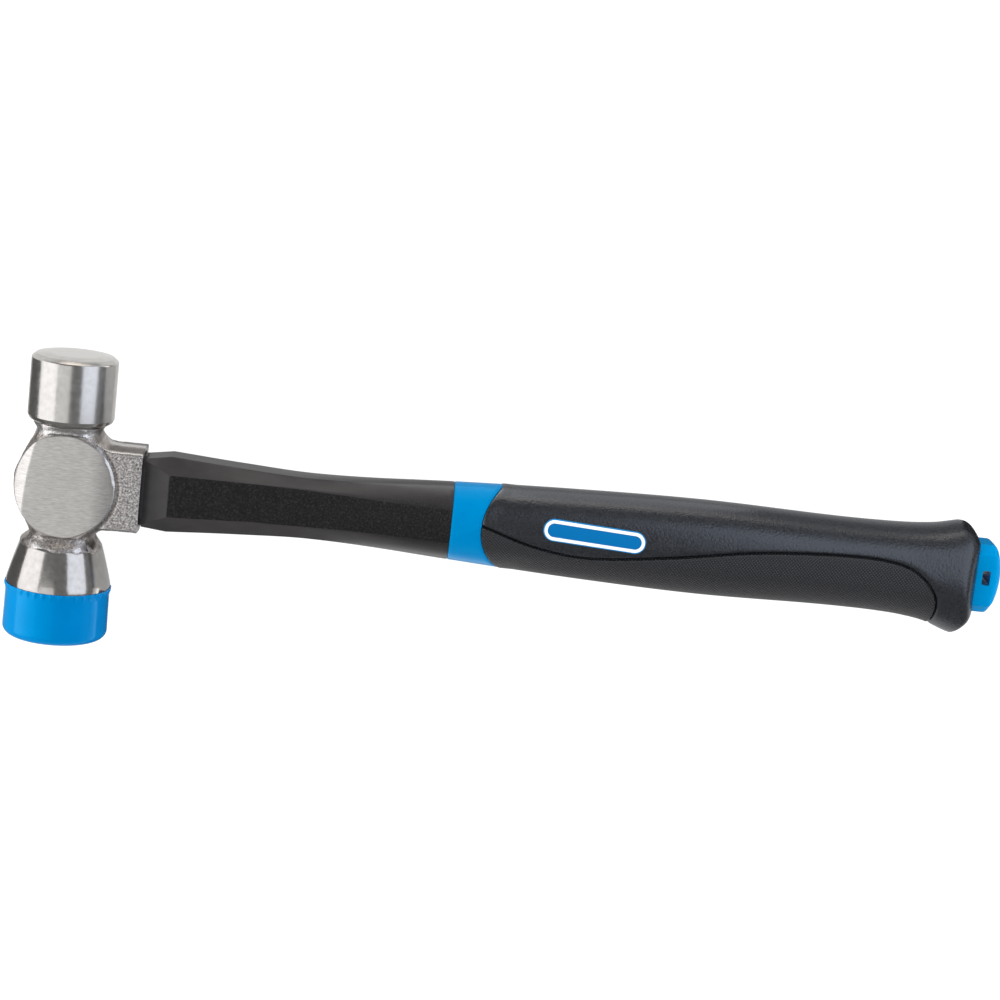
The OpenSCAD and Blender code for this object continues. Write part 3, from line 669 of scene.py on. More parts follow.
def make_cheek(name, side):
    """A ground flat: a disc on polar rows, with a small broken edge, that falls away along the
    bevel on the side opposite the handle."""
    angle = np.linspace(0, TURN, 289)
    radius = along(CHEEK_EDGE, np.degrees(angle), 1)
    inward = np.concatenate([[0, 0.08, 0.2, 0.35, 0.5], np.linspace(0.8, 8, 25), [10, 12, 14]])
    share = np.clip(1 - inward[::-1, None] / radius, 0, 1)
    share[0] = 0
    x = CHEEK_X + share * radius * np.cos(angle)
    y = CHEEK_Y + share * radius * np.sin(angle)
    rim = (1 - share) * radius
    glint = rise(4, 14, np.degrees(angle)) * rise(44, 34, np.degrees(angle))
    drop = bevel_drop(x, y) + 0.1 * rise(0.3, 0, rim) + 0.35 * glint * rise(1.0, 0.1, rim)
    top = np.stack([x, y, side * (CHEEK_Z - drop)], -1)
    wall = top[-1:] - [0, 0, side * 0.8]
    middle = np.zeros((len(angle), 3)) + [CHEEK_X, CHEEK_Y, side * 7.0]
    cheek = skin(name, [np.concatenate([top, wall, middle[None]])], crease=22)
    return dress(cheek, CHEEK_STEEL, ["head_forging"])


RIBS = 40


def make_tip():
    """The plastic tip: a flared lip with 40 fine ribs that fade 3.5 mm below it, a waist, a round
    bottom edge, a recess for the cone's end and a blind bore for the spigot."""
    wall = LIP_R - 0.5
    bore_r, bore_y = SPIGOT_R + 0.05, CONE_END_Y - 12
    seat_r, seat_y = CONE_END_R + 0.1, CONE_END_Y - 0.1
    outline = rounded([(0, bore_y, 0), (bore_r, bore_y, 0), (bore_r, seat_y, 0),
                       (seat_r, seat_y, 0), (seat_r, TIP_TOP, 0.08), (LIP_R - 0.35, TIP_TOP, 0.12),
                       (LIP_R - 0.3, TIP_TOP - 0.5, 0.3), (LIP_R - 0.38, TIP_TOP - 1.2, 0),
                       (LIP_R - 0.45, TIP_TOP - 1.9, 0), (wall, TIP_TOP - 2.6, 0),
                       (wall - 0.03, TIP_TOP - 3.3, 0), (wall - 0.03, TIP_TOP - 4.2, 0),
                       (wall, TIP_TOP - 8, 60), (wall + 0.2, TIP_BOTTOM, 2.9),
                       (0, TIP_BOTTOM, 0)], steps=9)

    def ribs(rows, a):
        outside = (rows[:, 0] > CONE_END_R + 0.12) & (rows[:, 1] > TIP_TOP - 4)
        fade = outside * (1 - rise(1.2, 3.6, TIP_TOP - rows[:, 1]))
        crest = np.clip(np.cos(a * RIBS), -0.2, 1)
        return 0.26 * fade[:, None] * np.maximum(crest, 0) ** 0.8

    tip = skin("plastic_tip", [turned(outline, RIBS * 12, ribs)], crease=40)
    return dress(tip, TIP_PLASTIC, ["tip_cap"], body="tip")


make_poll()
make_cone()
make_forging()
make_cheek("ground_cheek_near", 1)
make_cheek("ground_cheek_far", -1)
make_tip()


# ---------------------------------------------------------------- the handle's form

RAMP_X, WAIST_X, BELLY_X, HIP_X = 34.4, 82.0, 212.0, 256.0
FLARE_X = INLAY_END + 8.9
STEM_D, STEM_FLAT_H, STEM_FLAT_W = 9.0, 7.3, 4.8
TENON_H, TENON_W, TENON_END = 11.8, 6.3, 26.2
RAMP_H = 12.7
# Where the wide sides' lower edge lies: place, then height below the axis
LOWER_EDGE = np.array([(RAMP_X, 6.9), (62, 5.6), (95, 5.6), (125, 7.0)])
TAIL_H, TAIL_W = 9.5, 6.5
ROD_H, ROD_W = 6.6, 3.6
SLEEVE_H, SLEEVE_W = 11.8, 8.8
FRONT_R, FRONT_UP = 17.8, 0.5
BELLY = 16.0
# Place, half height up, half height down, half depth, roundness from the octagon to the oval
STATIONS = [
    (RAMP_X, RAMP_H, RAMP_H, 9, 0), (58.2, 11.16, 11.16, 9, 0), (WAIST_X, 10.4, 10.4, 9, 0.15),
    (BAND_X, 13.1, 13.1, 11.5, 1), (mix(BAND_X, BELLY_X, 0.5), 14.84, 15.24, 12.5, 1),
    (BELLY_X, 15.7, 16.3, 13, 1), (HIP_X, 14.9, 15.5, 13, 1),
    (mix(HIP_X, FLARE_X, 0.5), mix(14.9, BUTT_UP, 0.08), mix(15.5, BUTT_DOWN, 0.08), 13.3, 1),
    (mix(HIP_X, FLARE_X, 0.77), mix(14.9, BUTT_UP, 0.38), mix(15.5, BUTT_DOWN, 0.38), 13.7, 1),
    (FLARE_X, BUTT_UP, BUTT_DOWN, 14, 1), (BUTT_X + 2, BUTT_UP, BUTT_DOWN, 14, 1)]


def octagon(up, down, d, flat_h, flat_w, radius, flat_down=None, steps=4, between=5):
    """Rings of an octagon with rounded corners, one ring per row of the sizes. Each corner is an
    arc that touches its two sides, and each side has a few points between. The wide sides lie
    at +-d and run from flat_h up to flat_down down."""
    flat_down = flat_h if flat_down is None else flat_down
    up, down, d, flat_h, flat_w, radius, flat_down = np.broadcast_arrays(
        up, down, d, flat_h, flat_w, radius, flat_down)
    corner = np.stack([np.stack(pair, -1) for pair in (
        (flat_h, d), (up, flat_w), (up, -flat_w), (flat_h, -d),
        (-flat_down, -d), (-down, -flat_w), (-down, flat_w), (-flat_down, d))], -2)
    u, v = np.roll(corner, 1, -2) - corner, np.roll(corner, -1, -2) - corner
    u = u / np.linalg.norm(u, axis=-1, keepdims=True)
    v = v / np.linalg.norm(v, axis=-1, keepdims=True)
    half = np.arccos(np.clip(np.sum(u * v, -1, keepdims=True), -1, 1)) / 2
    r = radius[..., None, None]
    middle = corner + (u + v) / np.linalg.norm(u + v, axis=-1, keepdims=True) * r / np.sin(half)
    first, last = corner + u * r / np.tan(half), corner + v * r / np.tan(half)
    t = np.linspace(0, 1, steps + 1)[:, None, None, None]
    angle = math.pi - 2 * half
    arc = middle + (np.sin((1 - t) * angle) * (first - middle)
                    + np.sin(t * angle) * (last - middle)) / np.sin(angle)
    gap = np.linspace(0, 1, between + 2)[1:-1, None, None, None]
    side = last + (np.roll(first, -1, -2) - last) * gap
    ring = np.moveaxis(np.concatenate([arc, side]), 0, -2)
    ring = ring.reshape(*ring.shape[:-3], -1, 2)
    return np.concatenate([ring, ring[..., :1, :]], -2)


def sizes(x):
    """The form's half heights up and down, half depth and roundness at x."""
    return (along(STATIONS, x, 1), along(STATIONS, x, 2), along(STATIONS, x, 3),
            np.clip(along(STATIONS, x, 4), 0, 1))


def facet_rings(x, shrink=0.0):
    """The faceted neck's rings: octagon points slid out or in along their own direction to the
    oval, by the roundness at x."""
    up, down, d, roundness = sizes(x)
    ring = octagon(up, down, d, STEM_FLAT_H, STEM_FLAT_W, mix(0.3, 3.0, roundness),
                   np.interp(x, *LOWER_EDGE.T))
    height = np.where(ring[..., 0] > 0, up[..., None], down[..., None])
    reach = np.hypot(ring[..., 0] / height, ring[..., 1] / d[..., None])
    ring = ring * (1 + (1 / reach - 1) * roundness[..., None])[..., None]
    return ring * (1 - shrink / np.linalg.norm(ring, axis=-1, keepdims=True))


def rings_to_sheet(x, ring, mark=0.0):
    """Rings of (y, z) at places x as a sheet, with the place attribute."""
    x = np.broadcast_to(x[:, None] if x.ndim == 1 else x, ring.shape[:2])
    step = np.linalg.norm(np.diff(ring, axis=1, prepend=ring[:, :1]), axis=-1)
    return np.stack([x, ring[..., 0], ring[..., 1], x, np.cumsum(step, 1),
                     np.broadcast_to(mark, x.shape)], -1)


def box_ring(h, w, cut, count=1, radius=0.3):
    """Rings of a rectangle with cut corners, each with as many points as the rings it joins."""
    return octagon(*(np.full(count, float(size)) for size in (h, h, w, h - cut, w - cut, radius)))


def make_jacket():
    """The black jacket: tenon, ramps, faceted neck that turns oval, and its tail in the sleeve,
    round the rod's hole."""
    stem = np.concatenate([[RAMP_X + 0.25], np.arange(RAMP_X + 1.5, BAND_X - 0.4, 1.5),
                           [BAND_X - 0.35, BAND_X - 0.12, BAND_X]])
    ramp_x = np.array([TENON_END, TENON_END + 0.25, 28, 30, 32, 33.6, 34.15, RAMP_X])
    share = (ramp_x - TENON_END) / (RAMP_X - TENON_END)
    ramps = octagon(mix(11.3, RAMP_H, share), mix(TENON_H, RAMP_H, share),
                    mix(TENON_W, STEM_D, share), mix(10.7, STEM_FLAT_H, share),
                    mix(5.0, STEM_FLAT_W, share), 0.3, mix(10.7, LOWER_EDGE[0, 1], share))
    tenon_x = np.array([JACKET_LOW[0], JACKET_LOW[0] + 0.4, TENON_END])
    tenon = box_ring(TENON_H, TENON_W, EYE_CUT, 3)
    neck = facet_rings(stem, np.where(stem > BAND_X - 0.2, 0.12, 0)[:, None, None])
    tail_x = np.array([BAND_X, JACKET_HIGH[0]])
    hole_x = np.array([JACKET_HIGH[0], JACKET_LOW[0]])
    x = np.concatenate([tenon_x, ramp_x, stem, tail_x, hole_x, tenon_x[:1]])
    ring = np.concatenate([tenon, ramps, neck, box_ring(TAIL_H, TAIL_W, 2, 2),
                           box_ring(ROD_H, ROD_W, 1.5, 2), tenon[:1]])
    wide = np.zeros(ring.shape[1])
    wide[[0, *range(34, 41), *range(74, 81)]] = 1
    half = ring.shape[1] // 2
    column = (np.arange(ring.shape[1]) + 3) % half
    near = np.clip(1 - np.minimum(column, half - column) / 14, 0, 1)
    mark = np.maximum(wide, near * rise(85, 122, x)[:, None])
    mark = mark * rise(RAMP_X - 0.1, RAMP_X + 0.2, x)[:, None] * (x < BAND_X + 0.1)[:, None]
    jacket = skin("handle_skin", [rings_to_sheet(x, ring, mark)], crease=50)
    return dress(jacket, JACKET_PLASTIC, ["handle_jacket"])


make_jacket()


# ---------------------------------------------------------------- sleeve and grip

# Length of the grip's surface round its axis, in mm for each radian
ROUND = 14.0


def oval(x, theta):
    """The grip's surface: y = h cos theta and z = d sin theta, with h the half height up or down
    at x and d the half depth."""
    up, down, d, _ = sizes(x)
    y = np.where(np.cos(theta) > 0, up, down) * np.cos(theta)
    return np.stack([x + 0 * theta, y, d * np.sin(theta)], -1)


def sunk(x, theta, depth):
    """A point on the grip's oval, moved in by depth along the oval's normal."""
    point = oval(x, theta)
    up, down, d, _ = sizes(x)
    h = np.where(np.cos(theta) > 0, up, down)
    normal = np.stack([0 * point[..., 0], point[..., 1] / h ** 2, point[..., 2] / d ** 2], -1)
    normal = normal / np.linalg.norm(normal, axis=-1, keepdims=True)
    return point - normal * np.asarray(depth)[..., None]


def liner(point, h=SLEEVE_H, w=SLEEVE_W, power=3.0):
    """The point in the same direction from the handle's axis on the sleeve's rounded rectangle,
    as the curve |y/h|^p + |z/w|^p = 1."""
    y, z = point[..., 1], point[..., 2]
    reach = (np.abs(y / h) ** power + np.abs(z / w) ** power) ** (1 / power)
    return np.stack([point[..., 0], y / reach, z / reach], -1)


def front_arc(y):
    """Where the grip's front edge lies at a height y: an arc of FRONT_R that bulges forwards."""
    return GRIP_X - 0.5 + FRONT_R - np.sqrt(FRONT_R ** 2 - (y - FRONT_UP) ** 2)


def front_at(theta):
    """The front edge's place for each direction round the grip, where the oval meets the arc."""
    x = GRIP_X + 0 * theta
    for _ in range(6):
        x = front_arc(oval(x, theta)[..., 1])
    return x


def placed(point, theta, mark=0.0):
    """Adds the place attribute to grip points: mm along, mm round and a mark."""
    return np.concatenate([point, np.stack([point[..., 0], theta * ROUND + 0 * point[..., 0],
                                            mark + 0 * point[..., 0]], -1)], -1)


def make_sleeve():
    """The blue sleeve: a band with rounded edges that ends along the grip's front arc, and the
    layer under the grip, round the jacket's tail."""
    theta = np.linspace(0, TURN, 129)[None]
    back = front_at(theta) + 0.25
    rows, depth = [], []
    for start, sink in ((0.0, 0.6), (0.08, 0.3), (0.25, 0.1), (0.5, 0.0)):
        rows.append(BAND_X + start + 0 * theta)
        depth.append(sink)
    for share in np.linspace(0.1, 0.9, 9):
        rows.append(mix(BAND_X + 0.5, back - 0.6, share))
        depth.append(0.0)
    for end, sink in ((0.55, 0.0), (0.3, 0.1), (0.12, 0.35), (0.04, 0.8)):
        rows.append(back - end)
        depth.append(sink)
    x = np.concatenate(rows)
    band = sunk(x, theta + 0 * x, np.array(depth)[:, None] + 0 * x)
    under = liner(oval(back, theta))
    hole = liner(oval(back, theta), TAIL_H, TAIL_W, 12.0)
    sheet = np.concatenate([band, under, moved(under, 0, SLEEVE_HIGH[0]),
                            moved(hole, 0, SLEEVE_HIGH[0]), moved(hole, 0, BAND_X), band[:1]])
    sleeve = skin("blue_sleeve", [placed(sheet, theta)], crease=35)
    return dress(sleeve, BAND_PLASTIC, ["grip_sleeve"])


# The groove on the grip's side: share of the inlay's length, then height as a share of the belly
GROOVE = [(-0.03, 0.11), (0, 0.09), (0.12, -0.25), (0.24, -0.36), (0.41, -0.16), (0.6, 0.14),
          (0.79, 0.27), (0.9, 0.23), (0.96, 0), (1, -0.5), (1, -1.1)]
TURN_DOWN = 0.93


def groove_line():
    """The groove's path as (x, y): Catmull and Rom's cubic through the table's points."""
    p = np.array(GROOVE)
    m = len(p) - 1
    t = np.linspace(0, m - 1e-6, 40 * m)
    k = t.astype(int)
    u = (t - k)[:, None]
    a, b, c, d = p[np.maximum(k - 1, 0)], p[k], p[k + 1], p[np.minimum(k + 2, m)]
    q = (b + (c - a) * u / 2 + (2 * a - 5 * b + 4 * c - d) * u ** 2 / 2
         + (3 * b - a - 3 * c + d) * u ** 3 / 2)
    return np.stack([GRIP_X + q[:, 0] * (INLAY_END + 0.6 - GRIP_X), q[:, 1] * BELLY], -1)


LINE = groove_line()
TURN_X = GRIP_X + TURN_DOWN * (INLAY_END + 0.6 - GRIP_X)
TURN_AT = int(np.argmax(LINE[:, 0] > TURN_X))


def side_theta(x, y):
    """The direction round the grip in which its side has the height y at x."""
    up, down, _, _ = sizes(x)
    return np.arccos(np.clip(y / np.where(y > 0, up, down), -1, 1))


def folded(theta):
    """A direction round the grip, folded onto the side that runs from 0 to pi."""
    return math.pi - np.abs(theta % TURN - math.pi)


def groove_theta(x):
    """The direction round the grip in which the groove lies at x, in front of its turn down."""
    return side_theta(x, np.interp(x, LINE[:TURN_AT + 2, 0], LINE[:TURN_AT + 2, 1]))


def groove_end(theta):
    """The place where the groove's last stretch crosses each direction round the grip."""
    x, y = LINE[TURN_AT:, 0], LINE[TURN_AT:, 1]
    at = side_theta(x, y)
    return np.where(folded(theta) <= at[0], TURN_X, np.interp(folded(theta), at, x))


# The groove's path on the grip unrolled: place along it, then mm round it
PATH = np.stack([LINE[:, 0], ROUND * side_theta(LINE[:, 0], LINE[:, 1])], -1)[::4]
PATH = np.concatenate([PATH, [[PATH[-1, 0], ROUND * math.pi]]])


def groove_gap(x, theta):
    """Distance in mm from the groove's middle, on the grip unrolled."""
    point = np.stack(np.broadcast_arrays(x, ROUND * folded(theta)), -1)[..., None, :]
    a, step = PATH[:-1], np.diff(PATH, axis=0)
    t = np.clip(np.sum((point - a) * step, -1) / np.sum(step * step, -1), 0, 1)
    return np.linalg.norm(point - a - t[..., None] * step, axis=-1).min(-1)


# How far each side of the groove lies below the grip's form: distance from its middle, depth
SHELL_LIP = ((0, 1.1), (0.26, 1.0), (0.36, 0.5), (0.6, 0.26), (1.0, 0.1), (1.7, 0))
INLAY_LIP = ((0, 1.1), (0.24, 0.9), (0.32, 0.3), (0.45, 0.03), (0.7, -0.03), (1.3, 0.06))


def edge_steps(lip, far):
    """Distances from an edge: the lip's own, then growing steps up to far."""
    near = np.array([row[0] for row in lip])
    count = max(int((far - near[-1]) / 0.9), 2)
    return np.concatenate([near, np.linspace(near[-1], far, count + 1)[1:]])


def lip_depth(lip, distance):
    table = np.array(lip)
    return np.interp(distance, table[:, 0], table[:, 1])


def front_depth(x, theta):
    """The front edge: how far the surface lies below the form near the front arc, with a lip that
    stands 0.22 mm proud."""
    return lip_depth(((0, 1.0), (0.1, 0.4), (0.3, 0), (0.6, -0.18), (1.0, -0.22), (2.8, -0.12),
                      (5, 0)), x - front_at(theta))


# Millimetres from the front edge to the groove's turn down, about
TURN_SPAN = 143


def grip_rows():
    """Shares of the way from the front edge to the groove's turn down, closer near the front."""
    near = np.array([0, 0.1, 0.3, 0.6, 1.0])
    return np.concatenate([near, np.linspace(1.9, TURN_SPAN, 150)]) / TURN_SPAN


def grip_field(lip, lower):
    """Rows in front of the groove's turn: each row runs from one groove line to the other, over
    the top or under the bottom, with columns closer near the grooves."""
    far = 21.0
    steps = edge_steps(lip, far)
    shares = np.concatenate([steps, (2 * far - steps)[-2::-1]]) / (2 * far)
    s = grip_rows()[:, None]
    x = mix(GRIP_X, TURN_X, s) + 0 * shares
    for _ in range(4):
        edge = groove_theta(x)
        first, last = (edge, TURN - edge) if lower else (-edge, edge)
        theta = mix(first, last, shares)
        x = mix(front_at(theta), TURN_X, s)
    groove, front = lip_depth(lip, groove_gap(x, theta)), front_depth(x, theta)
    depth = np.where(front > 0, np.maximum(groove, front), groove + front)
    return x, theta, depth


# The butt's end, above and below the axis: height where it bends, slope beyond, softness of bend
END_BENDS = ((11, 0.45, 2.5), (13.2, 0.62, 0.6))


def face_x(y, z):
    """The butt's end: nearly flat in its middle, sloping off beyond its two bends, and an arc of
    22 mm in depth; the two sags are the two sides of a right triangle."""
    bend, slope, soft = (np.where(y > 0, above, below) for above, below in zip(*END_BENDS))
    past = np.abs(y) - bend
    sag = slope * (np.sqrt(past ** 2 + soft) + past) / 2
    return BUTT_X - np.hypot(y * y / 220 + sag, 22 - np.sqrt(22 ** 2 - z ** 2))


def on_face(points):
    """The same points, moved along x onto the butt's end."""
    return moved(points, 0, face_x(points[..., 1], points[..., 2]))


def rim_at(theta):
    """The place where the grip's side meets its domed end, for each direction."""
    x = BUTT_X + 0 * theta
    for _ in range(8):
        point = oval(x, theta)
        x = face_x(point[..., 1], point[..., 2])
    return x


def make_inlay():
    """The textured underside: the field between the two grooves, and its rounded back end."""
    x, theta, depth = grip_field(INLAY_LIP, True)
    outer = sunk(x, theta, depth)
    columns = theta[-1]
    end = groove_end(columns)
    steps = edge_steps(INLAY_LIP, 6.0)[::-1]
    room = np.maximum(end - TURN_X, 0)
    gap = np.minimum(steps[:, None], room)
    tail_x = end - gap
    tail_depth = lip_depth(INLAY_LIP, groove_gap(tail_x, columns))
    tail = sunk(tail_x, columns + 0 * tail_x, tail_depth)
    full_theta = np.concatenate([theta, columns + 0 * tail_x])
    shell = np.concatenate([outer, tail])
    inner = liner(shell)
    sheets = [placed(shell, full_theta, 1.0), placed(inner, full_theta)]
    for a, b in ((shell[0], inner[0]), (shell[-1], inner[-1])):
        sheets.append(placed(np.stack([a, b]), full_theta[0]))
    for k in (0, -1):
        sheets.append(placed(np.stack([shell[:, k], inner[:, k]]), full_theta[:, k]))
    inlay = skin("textured_side", sheets, crease=60)
    return dress(inlay, INLAY_RUBBER, ["grip_inlay"])


make_sleeve()
make_inlay()


def make_shell():
    """The pebbled shell: the field over the top between the two grooves, the full round behind
    the groove's turn, the rounded rim, the domed end and the pocket that the plug sits in."""
    x, theta, depth = grip_field(SHELL_LIP, False)
    outer = sunk(x, theta, depth)
    inner = liner(outer)
    sheets = [placed(outer, theta, 1.0), placed(inner, theta),
              placed(np.stack([outer[0], inner[0]]), theta[0])]
    for k in (0, -1):
        sheets.append(placed(np.stack([outer[:, k], inner[:, k]]), theta[:, k]))
    top = theta[-1]
    lower = np.linspace(top[-1], TURN + top[0], 90)[1:]
    ring = np.concatenate([top, lower])[None]
    start = groove_end(ring)
    start[0, :len(top)] = TURN_X
    rim = rim_at(ring)
    bend_reach = 2.3 + 1.6 * np.cos(ring)
    steps = edge_steps(SHELL_LIP, 6.0)
    shares = np.linspace(0, 1, 14)[1:, None]
    near = start + steps[:, None]
    away = mix(start + steps[-1], rim - bend_reach, shares)
    back_x = np.concatenate([near, away])
    back_depth = lip_depth(SHELL_LIP, groove_gap(back_x, ring))
    t = np.linspace(0, 1, 11)[1:, None, None]
    a = sunk(back_x[-1:], ring, 0 * ring)
    b = oval(rim, ring)
    pocket = liner(b, 11.8, 8.8, 7.0)
    inward = (pocket - b) / np.linalg.norm(pocket - b, axis=-1, keepdims=True)
    c = on_face(b + inward * bend_reach[..., None])
    bend = (1 - t) ** 2 * a + 2 * t * (1 - t) * b + t ** 2 * c
    face = on_face(mix(c, pocket, np.linspace(0, 1, 9)[1:, None, None]))
    deep = moved(pocket, 0, PLUG_LOW[0])
    inside_back = moved(liner(b), 0, PLUG_LOW[0])
    side_sheet = sunk(back_x, ring + 0 * back_x, back_depth)
    inside_front = liner(side_sheet[:1])
    full = np.concatenate([side_sheet, bend, face, deep, inside_back, inside_front])
    sheets.append(placed(full, ring, 1.0))
    under = slice(len(top) - 1, None)
    sheets.append(placed(np.stack([side_sheet[0, under], inside_front[0, under]]), ring[0, under]))
    shell = skin("pebbled_shell", sheets, crease=60)
    return dress(shell, SHELL_RUBBER, ["grip_shell"])


make_shell()


def grip_side(x, y):
    """The height z of the grip's side above a point (x, y)."""
    up, down, d, _ = sizes(x)
    return d * np.sqrt(np.clip(1 - (y / np.where(y > 0, up, down)) ** 2, 0, 1))


def make_badge():
    """The badge: a pill on rows from its middle line to its edge, laid on the grip's side, with a
    raised border, a field 0.15 mm below it and a wall down into its pocket."""
    length, height, turn = 34.2, 7.4, math.radians(-2.8)
    middle_x, middle_y = (BADGE_LOW[0] + BADGE_HIGH[0]) / 2, 2.2
    r, reach = height / 2, (length - height) / 2
    a = np.linspace(0, TURN, 241)
    spine = np.clip(np.cos(a) * 3, -1, 1) * reach
    end = np.arctan2(np.sin(a), np.cos(a) - np.sign(np.cos(a)) / 3)
    end = np.where(np.abs(np.cos(a)) > 1 / 3, end, np.sign(np.sin(a)) * math.pi / 2)
    u, v = np.cos(end), np.sin(end)
    from_edge = np.array([0, 0.06, 0.15, 0.3, 0.6, 0.9, 1.2, 1.34, 1.42, 1.5, 1.7, 2.2, 3.0, r])
    out = (r - from_edge)[:, None]
    px, py = spine + u * out, v * out
    raised = np.interp(from_edge, [0, 0.06, 0.15, 0.3, 1.34, 1.5, r],
                       [-0.05, 0.1, 0.18, 0.2, 0.2, 0.08, 0.08])[:, None]
    x = middle_x + px * math.cos(turn) - py * math.sin(turn)
    y = middle_y + px * math.sin(turn) + py * math.cos(turn)
    top = np.stack([x, y, grip_side(x, y) + raised], -1)
    foot, floor = moved(top[:1], 2, BADGE_LOW[2]), moved(top[-1:], 2, BADGE_LOW[2])
    mark = np.concatenate([[0], from_edge])[:, None] + 0 * a
    sheet = np.concatenate([foot, top])
    place = np.stack([sheet[..., 0], sheet[..., 1], mark], -1)
    close = np.concatenate([np.concatenate([floor, floor * 0], -1),
                            np.concatenate([foot, foot * 0], -1)])
    badge = skin("badge_pill", [np.concatenate([sheet, place], -1), close], crease=50)
    return dress(badge, badge_plastic(), ["badge"])


def make_plug():
    """The butt plug: a block with cut corners whose end is crowned, and whose edges turn over as
    (1 - k^5)^(1/5) while k goes from 1 at the side to 0 at the middle. A slot goes through it."""
    h, w = 11.6, 8.6
    ring = box_ring(h, w, 3.0, radius=1.2)
    k = np.concatenate([[1.0, 0.999, 0.99, 0.97, 0.94, 0.9, 0.85],
                        np.linspace(0.78, 0, 9)])[:, None]
    y, z = ring[0, :, 0] * k, ring[0, :, 1] * k
    top = PLUG_X - 2.4 * ((y - 0.6) / h) ** 2 - 0.5 * (z / w) ** 2
    wall = PLUG_X - 5.2
    x = wall + (top - wall) * (1 - k ** 5) ** (1 / 5)
    rows = np.stack([x, y, z], -1)
    foot = moved(rows[:1], 0, PLUG_LOW[0])
    middle = foot * np.array([1, 0, 0])
    plug = skin("butt_end_plug", [np.concatenate([middle, foot, rows])], crease=40)
    slot_x = PLUG_X - 5.6
    slot = box_ring(2.5, 1.35, 0.4, radius=0.2)[0]
    walls = [np.stack([slot_x + slot[:, 1], 0.8 + slot[:, 0], np.full(len(slot), z_at)], -1)
             for z_at in (-12.0, 12.0)]
    ends = [w * 0 + w.mean(0) for w in walls]
    cutter = skin("slot_cutter", [np.stack([ends[0], walls[0], walls[1], ends[1]])])
    cut = plug.modifiers.new("Slot", "BOOLEAN")
    cut.operation, cut.object, cut.solver = "DIFFERENCE", cutter, "EXACT"
    bpy.context.view_layer.update()
    graph = bpy.context.evaluated_depsgraph_get()
    done = bpy.data.meshes.new_from_object(plug.evaluated_get(graph))
    plug.modifiers.clear()
    plug.data = done
    bpy.data.objects.remove(cutter)
    done.set_sharp_from_angle(angle=math.radians(40))
    return dress(plug, PLUG_PLASTIC, ["butt_plug"])


make_badge()
make_plug()

for node, material in (("handle_core", glass_fibre()), ("eye_resin", cast_resin())):
    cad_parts[node].data.materials.clear()
    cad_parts[node].data.materials.append(material)


# ---------------------------------------------------------------- table, light and camera

HEAD = Vector(ORIGIN.tolist())


def softbox(name, across, along_head, distance, angles, level, tone, glossy=True):
    """A softbox seen from the head in a direction: across is the angle from straight up towards
    the handle, along_head the angle towards the steel face. It covers angles[0] by angles[1]
    degrees and shines at level, which is its power over pi times its area."""
    a, e = math.radians(across), math.radians(along_head)
    out = Vector((math.sin(a) * math.cos(e), math.sin(e), math.cos(a) * math.cos(e)))
    up = Vector((-math.sin(a) * math.sin(e), math.cos(e), -math.cos(a) * math.sin(e)))
    lamp = bpy.data.lights.new(name, "AREA")
    lamp.shape = "RECTANGLE"
    lamp.size = 2 * distance * math.tan(math.radians(angles[0] / 2))
    lamp.size_y = 2 * distance * math.tan(math.radians(angles[1] / 2))
    lamp.energy = math.pi * lamp.size * lamp.size_y * level
    lamp.color = linear(tone)[:3]
    holder = bpy.data.objects.new(name, lamp)
    side = up.cross(out)
    turn = Matrix((side, up, out)).transposed().to_4x4()
    holder.matrix_world = Matrix.Translation(HEAD + out * distance) @ turn
    holder.visible_camera = False
    holder.visible_glossy = glossy
    bpy.context.scene.collection.objects.link(holder)


def stage_sheet(name, material_name, corners, z):
    """A flat stage piece from (x0, y0) to (x1, y1) at height z, and its empty material's tree."""
    x0, y0, x1, y1 = corners
    mesh = bpy.data.meshes.new(name)
    mesh.from_pydata([(x0, y0, z), (x1, y0, z), (x1, y1, z), (x0, y1, z)], [], [(0, 1, 2, 3)])
    sheet = bpy.data.objects.new(name, mesh)
    bpy.context.scene.collection.objects.link(sheet)
    material, tree = bare_material(material_name)
    mesh.materials.append(material)
    return sheet, tree


def card(name, x0, y0, x1, y1, level):
    """A card flat on the table, from (x0, y0) to (x1, y1), that only reflections show, at a plain
    grey level."""
    sheet, tree = stage_sheet(name, name, (x0, y0, x1, y1), MM)
    glow = add(tree, "Emission", {"Color": (level, level, level, 1), "Strength": 1.0})
    add(tree, "OutputMaterial", {"Surface": glow.outputs[0]})
    for ray in ("camera", "diffuse", "transmission", "shadow"):
        setattr(sheet, "visible_" + ray, False)


def rays_and_seen(tree):
    """Light Path's outputs, and 1 for what camera and transmission rays see."""
    rays = add(tree, "LightPath").outputs
    seen = add(tree, "Math", {0: rays["Is Camera Ray"], 1: rays["Is Transmission Ray"]},
               operation="MAXIMUM").outputs[0]
    return rays, seen


def make_table():
    """White paper table: it takes the hammer's soft shadow, and its own white comes from a glow
    that camera and transmission rays see nearly in full and reflections see at 0.35."""
    size = 3.0
    _, tree = stage_sheet("table", "white_paper", (-size, -size, size, size), 0)
    rays, seen = rays_and_seen(tree)
    white = add(tree, "Math", {0: seen, 1: 0.88}, operation="MULTIPLY").outputs[0]
    metal = add(tree, "Math", {0: rays["Is Glossy Ray"], 1: 0.35}, operation="MULTIPLY").outputs[0]
    both = add(tree, "Math", {0: white, 1: metal}, operation="MAXIMUM").outputs[0]
    glow = add(tree, "Emission", {"Color": (1, 1, 1, 1), "Strength": both})
    paper = add(tree, "BsdfDiffuse", {"Color": (0.25, 0.25, 0.25, 1)})
    total = add(tree, "AddShader", {0: paper.outputs[0], 1: glow.outputs[0]})
    add(tree, "OutputMaterial", {"Surface": total.outputs[0]})


